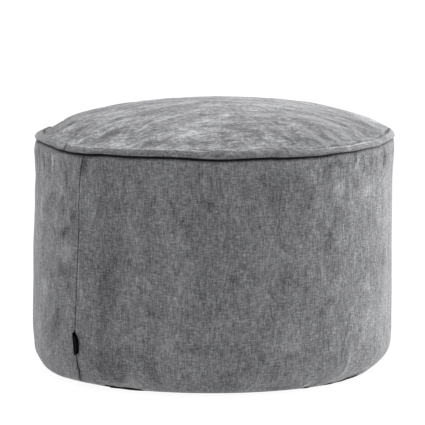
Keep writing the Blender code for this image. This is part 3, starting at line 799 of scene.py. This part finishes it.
# The top of the rolled band, the ridge under the stitches, and the lift of the crown beside it
TOP_ROLL_HALF_HEIGHT = 0.0026
RIDGE_DROP = 0.0002
CROWN_LIFT_RADIUS = 0.225
CROWN_LIFT_HALF_WIDTH = 0.013
# Beyond this radius the crown and underside get painted shade beside the stitching
STITCH_SHADE_RADIUS = 0.2405
STITCH_LUMPS_RADIUS = 0.236
STITCH_LUMPS_HALF_WIDTH = 0.012
# The cloth that settles: its radii, where it is looser, its least slack, how uneven it starts
CROWN_FOLD_RADII = (0.052, 0.2415)
CROWN_LOOSE_FROM = (0.17, 0.06)
CROWN_LEAST_SLACK = 0.3
CROWN_UNEVEN = 0.0005
# The painted highlight on the ridge, the ragged edges of patches, and the pulled corners
RIDGE_HIGHLIGHT = 0.42
RIDGE_HIGHLIGHT_UNEVEN = 0.5
CROWN_FRAY = (0.005, 0.008)
CROWN_FRAY_SCALES = (60, 60, 0)
PULLED_FROM = (0.10, 0.06)
PULLED_BAND = 0.45


def top_grid(turns, spacing):
    """Rows of the top cushion at each turn, from its joint over the rim to the crown.

    Each row has a radius, height, band, the share of it that is band, painted shade and ridge
    highlight.
    """
    rim = rim_around(turns)
    slack = 1 - np.minimum(rim.pull, 1.0)
    notch = bell(apart(turns, STITCH_START_TURN), START_NOTCH)
    rows = [spread(turns, RIM_SEAM_RADIUS, RIM_SEAM_HEIGHT, 1.0, 1.0, 0.0)]
    for row in TOP_ROWS:
        out = min(row.radius / CROWN_RADIUS, 1.0)
        up = min(max(row.rise / BAND_HEIGHT, 0.0), 1.0)
        rise = row.rise + rim.wave * out**8 - rim.drop * up * rising(row.radius, *SAGS_FROM)
        radius = row.radius - rim.draw * up * rising(row.radius, *DRAWS_FROM)
        radius = radius - rim.roll * up**4 * rising(row.radius, *ROLLS_FROM)
        band, tuck = PART_MARKS[row.part]
        if row.part in ("hem", "band"):
            radius = radius - FOOT_ROLL * rim.roll * (1 - up) ** 2
        if row.part in ("band", "ridge"):
            radius = radius - (SLACK_DRAW * slack + NOTCH_DRAW * notch) * up
            rise = rise + TOP_ROLL * rim.roll * bell(row.rise - BAND_HEIGHT, TOP_ROLL_HALF_HEIGHT)
            # Painted shade in the gap at the notch where the stitching starts
            tuck = notch * rising(row.rise, *NOTCH_FROM)
        if row.part == "hem":
            tuck = tuck * at_least(CLOSED_CREASE_SHADE, rim.gap)
        elif row.part == "ridge":
            rise = rise + RIDGE_RISE * rim.pull - RIDGE_DROP
        elif row.part == "groove":
            rise = rise - GROOVE_DEPTH * rim.pull + SLACK_RISE * slack
            # Painted shade in the groove, as deep as the stitching pulls
            tuck = tuck * rim.pull
        elif row.part == "crown":
            rise = rise + CROWN_TILT * np.sin(np.radians(turns)) * out
            beside = bell(row.radius - CROWN_LIFT_RADIUS, CROWN_LIFT_HALF_WIDTH)
            rise = rise + rim.crown_lift * beside
        # Painted shade beside the stitching
        if row.part in ("underside", "crown") and row.radius > STITCH_SHADE_RADIUS:
            tuck = STITCH_SHADE * rim.pull
        band = band * (1 - SLACK_BRUSHED * slack * rising(row.rise, *SLACK_FROM))
        # How strong the painted highlight on the ridge is
        ridge = rim.shine * (row.part == "ridge")
        rows.append(spread(turns, radius, RIM_SEAM_HEIGHT + rise, band, tuck, ridge))
    return through(rows, spacing)


def top_folds():
    """(turns, radii, folds): how far the filled crown stands off its plain shape."""
    turns = np.arange(-180, 180, SETTLE_STEP)
    radii = np.arange(*CROWN_FOLD_RADII, SETTLE_ROW)
    crown = [row for row in TOP_ROWS[::-1] if row.part == "crown"]
    # The rows run from the rim inwards
    at, out = np.meshgrid(turns, radii[::-1])
    rows = on_drum(out, at, RIM_SEAM_HEIGHT + read(crown, "radius", "rise", out))
    rows[..., 2] += CROWN_UNEVEN * clouds(rows, (45, 45, 0), 6.3)
    after = settled(rows, at_least(CROWN_LEAST_SLACK, rising(out, *CROWN_LOOSE_FROM)))
    return turns, radii, without_wide_waves((after - rows)[::-1, :, 2])


def top_points(spacing):
    """The points of the top cushion, and what its finish reads at each."""
    turns = spaced_turns(STITCH_START_TURN)
    radii, heights, band, tuck, ridge = np.moveaxis(top_grid(turns, spacing), -1, 0)
    points = on_drum(radii, turns, heights)
    across, back = points[..., 0], points[..., 1]
    on_crown = 1 - rising(radii, *CROWN_ENDS)
    beside = bell(radii - STITCH_LUMPS_RADIUS, STITCH_LUMPS_HALF_WIDTH)
    near = {"stitch": beside, "crown": on_crown}
    lift = lumps(points, CROWN_LUMPS, near)
    for crease in CROWN_CREASES:
        share = lying(across - crease.x, back - crease.y, crease.bearing, crease)
        lift += on_crown * crease.out * share
    lift += on_crown * rising(radii, *CROWN_FOLDS_FROM) * on_grid(turns, radii, top_folds())
    points[..., 2] += lift
    # A painted highlight along the ridge, then the patches of nap
    nap_and_painted_light = RIDGE_HIGHLIGHT * ridge * (1 + RIDGE_HIGHLIGHT_UNEVEN * clouds(points, (160, 160, 1), 7.1))
    ragged, frayed = (
        middle + fray * clouds(points, CROWN_FRAY_SCALES, seed)
        for middle, fray, seed in zip((across, back), CROWN_FRAY, FRAY_SEEDS)
    )
    for patch in CROWN_PATCHES:
        for turned, strength in zip((1, -1), CROWN_PATCH_STRENGTHS):
            side, up = ragged - turned * patch.x, frayed - turned * patch.y
            share = lying(side, up, patch.bearing, patch)
            nap_and_painted_light += strength * patch.shade * share * on_crown
    # Over the pulled corners the crown is stretched and shows its weave, as the band does
    pulled = rising(np.abs(across), *PULLED_FROM) * (across * back < 0)
    band = band + PULLED_BAND * on_crown * pulled
    # The nap mark carries the painted highlight on the ridge as well as the nap
    marks = {
        "nap": nap_and_painted_light,
        "band": np.clip(band, 0, 1),
        "tuck": np.clip(tuck, 0, 1),
        "woven": woven_over(turns, radii, heights, RIM_SEAM_HEIGHT + 0.005),
    }
    return points, marks


# -------------------- finishes

# How much light and dark fibres of the nap differ, how dark the painted shade of a crease,
# seam or groove is, how dark a swept line is, and how deep the line lies, in mm
NAP_CONTRAST = 1.4
PAINTED_CREASE_SHADE = 0.97
SWEEP_SHADE = 0.06
SWEEP_DEPTH = 0.10
# Of a plain cloth: its threads' width for their length, and its darkest and lightest shades
THREAD_SLENDERNESS = 0.12
CLOTH_SHADES = (0.5, 1.6)


def plug(tree, node, inputs):
    """Give each input of a node its value, or the link that it comes through."""
    for key, value in inputs.items():
        if isinstance(value, bpy.types.NodeSocket):
            tree.links.new(value, node.inputs[key])
        else:
            node.inputs[key].default_value = value


def add_node(tree, kind, inputs=None, **settings):
    made = tree.nodes.new(kind)
    for key, value in settings.items():
        setattr(made, key, value)
    plug(tree, made, inputs or {})
    return made


def calc(tree, operation, *values):
    inputs = dict(enumerate(values))
    return add_node(tree, "ShaderNodeMath", inputs, operation=operation).outputs[0]


def vector_calc(tree, operation, inputs):
    return add_node(tree, "ShaderNodeVectorMath", inputs, operation=operation).outputs[0]


def stretched_noise(tree, vector, scales, **inputs):
    """A noise node on a vector that is stretched by the scales."""
    mapped = add_node(tree, "ShaderNodeMapping", {"Vector": vector, "Scale": scales})
    inputs = {"Vector": mapped.outputs[0], "Scale": 1.0, **inputs}
    return add_node(tree, "ShaderNodeTexNoise", inputs)


def fibres(tree, vector, scales, detail, roughness):
    """Noise stretched to the length and width of a fibre, from about -0.5 to 0.5."""
    made = stretched_noise(tree, vector, scales, Detail=detail, Roughness=roughness)
    return calc(tree, "SUBTRACT", made.outputs[0], 0.5)


def weighted(tree, parts):
    """The sum of socket times weight over the parts."""
    total = 0.0
    for socket, weight in parts:
        total = calc(tree, "MULTIPLY_ADD", socket, weight, total)
    return total


def wandering(tree, vector, amount):
    """The vector, pushed about by slow noise so that threads wander."""
    slow = stretched_noise(tree, vector, (22, 22, 22), Detail=2.0).outputs["Color"]
    centred = vector_calc(tree, "SUBTRACT", {0: slow, 1: (0.5, 0.5, 0.5)})
    return vector_calc(tree, "MULTIPLY_ADD", {0: centred, 1: (amount, amount, amount), 2: vector})


def marked(tree, name, output="Fac"):
    """A value that the mesh carries at each point."""
    return add_node(tree, "ShaderNodeAttribute", attribute_name=name).outputs[output]


def nap(tree, vectors, layers):
    """(tone, relief) of layered fibres, each layer on the vector that it names."""
    made = [fibres(tree, vectors[row.along], row.scales, row.detail, 0.6) for row in layers]
    tones = [(fibre, row.weight) for fibre, row in zip(made, layers)]
    reliefs = [(fibre, row.relief) for fibre, row in zip(made, layers)]
    return weighted(tree, tones), weighted(tree, reliefs)


def sweeps(tree, vector, scales, half_width):
    """Thin curved lines where the nap was brushed against itself, 1 on a line and 0 off it."""
    slow = stretched_noise(tree, vector, scales, Detail=1.0, Distortion=0.8)
    off_line = calc(tree, "ABSOLUTE", calc(tree, "SUBTRACT", slow.outputs[0], 0.5))
    inputs = {"Value": off_line, "From Min": half_width, "From Max": 0.0}
    kind = "ShaderNodeMapRange"
    return add_node(tree, kind, inputs, interpolation_type="SMOOTHSTEP").outputs[0]


def bumped(tree, relief, strength, distance):
    inputs = {"Height": relief, "Strength": strength, "Distance": distance}
    return add_node(tree, "ShaderNodeBump", inputs).outputs[0]


def new_finish(name):
    material = bpy.data.materials.new(name)
    material.use_nodes = True
    tree = material.node_tree
    tree.nodes.clear()
    shader = add_node(tree, "ShaderNodeBsdfPrincipled")
    add_node(tree, "ShaderNodeOutputMaterial", {0: shader.outputs[0]})
    return material, tree, shader


def chenille(name, colour, weave, brushing=(), bearing=0.0, fan=0.0, wander=0.0022, gleam=2.0):
    """Brushed chenille: woven threads under a nap that lies in patches, streaks and sweeps, with
    painted highlights and shade from its marks.

    weave is the layers of a stretched cloth, and brushing those of a cloth off its band, if they
    differ; bearing is the way they were brushed, in degrees from +X, and fan how it turns for
    each metre of X. Light fibres stand out from the dark ones more as gleam grows.
    """
    material, tree, shader = new_finish(name)
    place = add_node(tree, "ShaderNodeTexCoord").outputs["Object"]
    swept = wandering(tree, place, wander)
    woven = marked(tree, "woven", "Vector")
    tone, relief = nap(tree, {"cloth": woven, "thread": wandering(tree, woven, 0.0022)}, weave)
    if brushing:
        across = add_node(tree, "ShaderNodeSeparateXYZ", {0: place}).outputs[0]
        angle = calc(tree, "MULTIPLY_ADD", across, -math.radians(fan), -math.radians(bearing))
        inputs = {"Vector": swept, "Angle": angle}
        brushed = add_node(tree, "ShaderNodeVectorRotate", inputs, rotation_type="Z_AXIS")
        vectors = {"cloth": place, "thread": swept, "brush": brushed.outputs[0]}
        napped, napped_relief = nap(tree, vectors, brushing)
        on_band = marked(tree, "band")
        off_band = calc(tree, "SUBTRACT", 1.0, on_band)
        tone = weighted(tree, [(tone, on_band), (napped, off_band)])
        relief = weighted(tree, [(relief, on_band), (napped_relief, off_band)])
    line = sweeps(tree, swept, (15, 15, 12), 0.02)
    # The nap mark carries painted highlights and shade as well as patches of nap
    tone = weighted(tree, [(tone, 1.0), (marked(tree, "nap"), 1.0), (line, -SWEEP_SHADE)])
    relief = weighted(tree, [(relief, 1.0), (line, -SWEEP_DEPTH)])
    # Painted shade darkens the cloth in creases, seams and grooves
    crease_shade_factor = calc(tree, "MULTIPLY_ADD", marked(tree, "tuck"), -PAINTED_CREASE_SHADE, 1.0)
    lightened = calc(tree, "MULTIPLY_ADD", tone, NAP_CONTRAST / gleam, 1.0)
    lit = calc(tree, "MULTIPLY", calc(tree, "POWER", lightened, gleam), crease_shade_factor)
    looks = {
        "Base Color": vector_calc(tree, "SCALE", {0: colour[:3], "Scale": lit}),
        "Normal": bumped(tree, relief, 1.0, 0.001),
        "Roughness": calc(tree, "MULTIPLY_ADD", tone, -0.15, 0.88),
        "Sheen Weight": 0.25,
        "Sheen Roughness": 0.45,
        "Sheen Tint": (0.9, 0.9, 0.92, 1.0),
        "Specular IOR Level": 0.1,
    }
    plug(tree, shader, looks)
    return material


def close_cloth(name, colour, scale, relief, roughness, sheen, shine=0.1, fold_highlight=0.0):
    """A plain close-woven cloth, its two thread directions crossing, with a painted highlight where
    marked.
    """
    material, tree, shader = new_finish(name)
    place = add_node(tree, "ShaderNodeTexCoord").outputs["Object"]
    fine, long = scale, scale * THREAD_SLENDERNESS
    threads = (((fine, fine, long), 0.6), ((long, long, fine), 0.6), ((fine, long, fine), 0.4))
    weave = weighted(tree, [(fibres(tree, place, at, 1.0, 0.5), share) for at, share in threads])
    mix = add_node(tree, "ShaderNodeMix", data_type="RGBA", clamp_factor=True)
    ends = [socket for socket in mix.inputs if socket.type == "RGBA"]
    for end, shade in zip(ends, CLOTH_SHADES):
        end.default_value = [channel * shade for channel in colour[:3]] + [1.0]
    plug(tree, mix, {0: calc(tree, "MULTIPLY_ADD", weave, 1.0, 0.5)})
    mixed = [socket for socket in mix.outputs if socket.type == "RGBA"][0]
    # A painted highlight, lighter where the mark is
    if fold_highlight:
        highlighted = calc(tree, "MULTIPLY_ADD", marked(tree, "fold_highlight"), fold_highlight, 1.0)
        mixed = vector_calc(tree, "SCALE", {0: mixed, "Scale": highlighted})
    looks = {
        "Base Color": mixed,
        "Normal": bumped(tree, weave, relief, 0.0004),
        "Roughness": roughness,
        "Sheen Weight": sheen,
        "Specular IOR Level": shine,
    }
    plug(tree, shader, looks)
    return material


# -------------------- settings

COLOUR = {"subtype": "COLOR", "size": 4, "min": 0.0, "max": 1.0}


class FootstoolColours(bpy.types.PropertyGroup):
    """Colours of the cloths."""

    chenille: bpy.props.FloatVectorProperty(
        name="Chenille",
        description="Middle colour of the brushed chenille",
        default=(0.186, 0.1875, 0.1945, 1.0),
        **COLOUR,
    )
    base: bpy.props.FloatVectorProperty(
        name="Base cloth",
        description="Colour of the flat cloth underneath",
        default=(0.010, 0.010, 0.011, 1.0),
        **COLOUR,
    )
    ribbon: bpy.props.FloatVectorProperty(
        name="Ribbon",
        description="Colour of the ribbon tab",
        default=(0.0013, 0.0013, 0.0016, 1.0),
        **COLOUR,
    )


class FootstoolSizes(bpy.types.PropertyGroup):
    """Sizes of the fine work."""

    grid_spacing: bpy.props.FloatProperty(
        name="Grid spacing",
        description="Distance between the rows of points of the padded pieces",
        default=0.003,
        min=0.001,
        max=0.02,
        unit="LENGTH",
    )
    stitch_length: bpy.props.FloatProperty(
        name="Stitch length",
        description="Length of one stitch of the rim, with its gap",
        default=0.0045,
        min=0.002,
        max=0.02,
        unit="LENGTH",
    )
    thread_thickness: bpy.props.FloatProperty(
        name="Thread thickness",
        description="Diameter of the sewing thread",
        default=0.0006,
        min=0.0002,
        max=0.003,
        unit="LENGTH",
    )


# -------------------- operators


def give_finish(piece, material):
    piece.data.materials.append(material)
    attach(piece, "root")


class FOOTSTOOL_OT_side_cover(bpy.types.Operator):
    """Sew the filled side cover, with its seam, soft creases and rolled foot"""

    bl_idname = "footstool.side_cover"
    bl_label = "Side Cover"

    def execute(self, context):
        rings, marks = side_points(context.scene.footstool_sizes.grid_spacing)
        low = on_drum(0.0, 0.0, BASE_THICKNESS + SEWN_GAP)
        high = on_drum(0.0, 0.0, RIM_SEAM_HEIGHT - SEWN_GAP)
        piece = closed_skin("side_cover", rings, low, high, marks)
        colour = context.scene.footstool_colours.chenille
        give_finish(piece, chenille("side_chenille", colour, SIDE_WEAVE))
        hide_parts("side_panel")
        return {"FINISHED"}


class FOOTSTOOL_OT_top_cushion(bpy.types.Operator):
    """Sew the crowned top with its band and the pulled-in line of stitching"""

    bl_idname = "footstool.top_cushion"
    bl_label = "Top Cushion"

    def execute(self, context):
        rings, marks = top_points(context.scene.footstool_sizes.grid_spacing)
        low = on_drum(0.0, 0.0, RIM_SEAM_HEIGHT)
        high = rings[-1].mean(axis=0) + (0.0, 0.0, 0.0001)
        piece = closed_skin("top_cushion", rings, low, high, marks)
        colour = context.scene.footstool_colours.chenille
        brushed = {"bearing": 16, "fan": -80, "wander": 0.0034, "gleam": 8.0}
        material = chenille("top_chenille", colour, TOP_WEAVE, TOP_BRUSHING, **brushed)
        give_finish(piece, material)
        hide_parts("top_panel")
        return {"FINISHED"}


class FOOTSTOOL_OT_base_cloth(bpy.types.Operator):
    """Lay the flat black base cloth, its edge pulled up a little where it shows"""

    bl_idname = "footstool.base_cloth"
    bl_label = "Base Cloth"

    def execute(self, context):
        turns = np.arange(-180, 180, BASE_STEP)
        curl = around(BASE_REVEALS, turns, "curl")
        edge = BASE_RADIUS + around(BASE_REVEALS, turns, "reach")
        inner = (0.02, 0.06, 0.10, 0.14, 0.17, 0.19, BASE_FLAT_RADIUS)
        half = [(radius, 0.0) for radius in inner] + [(edge, curl)]
        rings = [on_drum(radius, turns, height) for radius, height in half]
        rings += [on_drum(radius, turns, BASE_THICKNESS + height) for radius, height in half[::-1]]
        low, high = on_drum(0.0, 0.0, 0.0), on_drum(0.0, 0.0, BASE_THICKNESS)
        piece = closed_skin("base_cloth", np.array(rings), low, high, {})
        colour = context.scene.footstool_colours.base
        material = close_cloth("base_cloth", colour, 900, 0.5, 0.8, 0.1)
        give_finish(piece, material)
        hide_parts("base_panel")
        return {"FINISHED"}


class FOOTSTOOL_OT_ribbon_tab(bpy.types.Operator):
    """Fold the plain ribbon tab that is caught in the side seam"""

    bl_idname = "footstool.ribbon_tab"
    bl_label = "Ribbon Tab"

    def execute(self, context):
        path = through(np.array(TAB_PATH)[:, None], TAB_SPACING)[:, 0]
        heading = unit(np.gradient(path[:, :2], axis=0))
        normal = np.stack([-heading[:, 1], heading[:, 0]], axis=1)
        share = np.linspace(0.0, 1.0, TAB_LEVELS)
        taper = at_least(TAB_TAPER, share)
        loops = []
        for station, half in zip(path, normal * TAB_THICKNESS / 2):
            low = TAB_BOTTOM_HEIGHT + station[3]
            levels = low + (TAB_TOP_HEIGHT - station[2] - low) * share
            out, along = station[0] * taper, station[1] * at_least(0.5, taper)
            front = beside_seam(out + half[0], along + half[1], levels)
            back = beside_seam(out - half[0], along - half[1], levels)
            loops.append(np.concatenate([front, back[::-1]]))
        rings = np.array(loops)
        # A painted highlight runs along the middle of its outer layer, where the fold catches the
        # light
        run = distances(path[:, :2])
        highlighted = bell(run - TAB_HIGHLIGHT_AT, TAB_HIGHLIGHT_HALF_WIDTH)
        marks = {"fold_highlight": highlighted[:, None] * np.ones(rings.shape[:2])}
        low, high = rings[0].mean(axis=0), rings[-1].mean(axis=0)
        piece = closed_skin("ribbon_tab", rings, low, high, marks)
        colour = context.scene.footstool_colours.ribbon
        material = close_cloth("black_ribbon", colour, 1600, 0.4, 0.7, 0.0, shine=0.02, fold_highlight=24)
        give_finish(piece, material)
        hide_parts("label_tab")
        return {"FINISHED"}


class FOOTSTOOL_OT_rim_topstitch(bpy.types.Operator):
    """Run the thread of the rim stitching along its groove"""

    bl_idname = "footstool.rim_topstitch"
    bl_label = "Rim Topstitch"

    def execute(self, context):
        sizes = context.scene.footstool_sizes
        first = STITCH_START_TURN + STITCH_MARGIN_TURN
        turns = np.arange(first, STITCH_START_TURN + STITCHED_TURN, STITCH_LINE_STEP)
        rim = rim_around(turns)
        rise = STITCH_RISE + rim.wave - GROOVE_DEPTH * rim.pull - rim.drop
        line = on_drum(STITCH_RADIUS - rim.draw, turns, RIM_SEAM_HEIGHT + rise)
        run = distances(line)
        count = int(run[-1] / sizes.stitch_length)
        ends = (np.arange(count)[:, None] + [row.along for row in STITCH_SHAPE]) * run[-1] / count
        middle = np.stack([np.interp(ends, run, line[:, axis]) for axis in range(3)], axis=-1)
        middle[..., 2] += [row.rise for row in STITCH_SHAPE]
        thread_way = unit(middle[:, -1] - middle[:, 0])
        side = unit(np.cross(thread_way, (0, 0, 1)))
        up = np.cross(side, thread_way)
        angle = 2 * math.pi * np.arange(THREAD_SIDES)[:, None] / THREAD_SIDES
        outline = side[:, None, None] * np.cos(angle) + up[:, None, None] * np.sin(angle)
        thick = np.array([row.thick for row in STITCH_SHAPE])[:, None, None]
        points = middle[:, :, None] + outline * thick * sizes.thread_thickness / 2
        rings = np.arange(points[..., 0].size).reshape(points.shape[:3])
        faces = between(rings)[:, ::-1].tolist()
        faces += rings[:, 0].tolist() + rings[:, -1, ::-1].tolist()
        piece = new_piece("rim_topstitch", points.reshape(-1, 3).tolist(), faces)
        grey = context.scene.footstool_colours.chenille[:3]
        colour = [channel * THREAD_LIGHTER for channel in grey]
        material = close_cloth("grey_thread", colour, 2500, 0.3, 0.6, 0.2)
        give_finish(piece, material)
        return {"FINISHED"}


def area_light(name, place, size, power):
    data = bpy.data.lights.new(name, "AREA")
    data.shape = "RECTANGLE"
    data.size, data.size_y = size
    data.energy = power
    light = bpy.data.objects.new(name, data)
    light.location = place
    way = Vector(LIT_MIDDLE) - Vector(place)
    light.rotation_euler = way.to_track_quat("-Z", "Y").to_euler()
    bpy.context.collection.objects.link(light)


class FOOTSTOOL_OT_stage(bpy.types.Operator):
    """Set the pale floor, the soft lights and the camera"""

    bl_idname = "footstool.stage"
    bl_label = "Stage"

    def execute(self, context):
        scene = context.scene
        scene.view_settings.view_transform = "Standard"
        edge = on_drum(FLOOR_RADIUS, np.arange(0, 360, 3.0), -FLOOR_DROP)
        floor = new_piece("floor", edge.tolist(), [list(range(len(edge)))])
        white = (1.0, 1.0, 1.0, 1.0)
        material, tree, shader = new_finish("pale_floor")
        looks = {
            "Base Color": (0.10, 0.10, 0.10, 1.0),
            "Emission Color": white,
            "Emission Strength": 0.94,
            "Roughness": 0.9,
            "Specular IOR Level": 0.0,
        }
        plug(tree, shader, looks)
        floor.data.materials.append(material)

        # The studio: brighter to the camera than it is as a light
        world = bpy.data.worlds.new("studio")
        world.use_nodes = True
        tree = world.node_tree
        tree.nodes.clear()
        seen, cast = (
            add_node(tree, "ShaderNodeBackground", {"Color": white, "Strength": strength})
            for strength in (1.05, 0.37)
        )
        to_camera = add_node(tree, "ShaderNodeLightPath").outputs["Is Camera Ray"]
        inputs = {0: to_camera, 1: cast.outputs[0], 2: seen.outputs[0]}
        mixed = add_node(tree, "ShaderNodeMixShader", inputs)
        add_node(tree, "ShaderNodeOutputWorld", {0: mixed.outputs[0]})
        scene.world = world
        for light in LIGHTS:
            area_light(*light)

        data = bpy.data.cameras.new("camera")
        data.lens = CAMERA_LENS
        data.sensor_width = 36.0
        camera = bpy.data.objects.new("camera", data)
        context.collection.objects.link(camera)
        elevation = math.radians(CAMERA_ELEVATION)
        back = Vector((0.0, -math.cos(elevation), math.sin(elevation)))
        camera.location = Vector(CAMERA_AIM) + back * CAMERA_DISTANCE
        camera.rotation_euler = back.to_track_quat("Z", "Y").to_euler()
        scene.camera = camera
        return {"FINISHED"}


class FOOTSTOOL_PT_panel(bpy.types.Panel):
    """Lists the steps of the footstool"""

    bl_idname = "FOOTSTOOL_PT_panel"
    bl_label = "Bean Bag Footstool"
    bl_space_type = "VIEW_3D"
    bl_region_type = "UI"
    bl_category = "Footstool"

    def draw(self, context):
        layout = self.layout
        for settings in (context.scene.footstool_sizes, context.scene.footstool_colours):
            for name in settings.__annotations__:
                layout.prop(settings, name)
        for step in STEPS:
            layout.operator(step.bl_idname)


STEPS = (
    FOOTSTOOL_OT_base_cloth,
    FOOTSTOOL_OT_side_cover,
    FOOTSTOOL_OT_top_cushion,
    FOOTSTOOL_OT_rim_topstitch,
    FOOTSTOOL_OT_ribbon_tab,
    FOOTSTOOL_OT_stage,
)
CLASSES = (FootstoolColours, FootstoolSizes, *STEPS, FOOTSTOOL_PT_panel)


def register():
    for kind in CLASSES:
        bpy.utils.register_class(kind)
    bpy.types.Scene.footstool_sizes = bpy.props.PointerProperty(type=FootstoolSizes)
    bpy.types.Scene.footstool_colours = bpy.props.PointerProperty(type=FootstoolColours)


def unregister():
    del bpy.types.Scene.footstool_colours
    del bpy.types.Scene.footstool_sizes
    for kind in reversed(CLASSES):
        bpy.utils.unregister_class(kind)


def corners(bounds):
    return [[float(part) for part in corner] for corner in bounds]


def main():
    register()
    bpy.ops.footstool.base_cloth()
    bpy.ops.footstool.side_cover()
    bpy.ops.footstool.top_cushion()
    bpy.ops.footstool.rim_topstitch()
    bpy.ops.footstool.ribbon_tab()
    bpy.ops.footstool.stage()


if __name__ == "__main__":
    main()
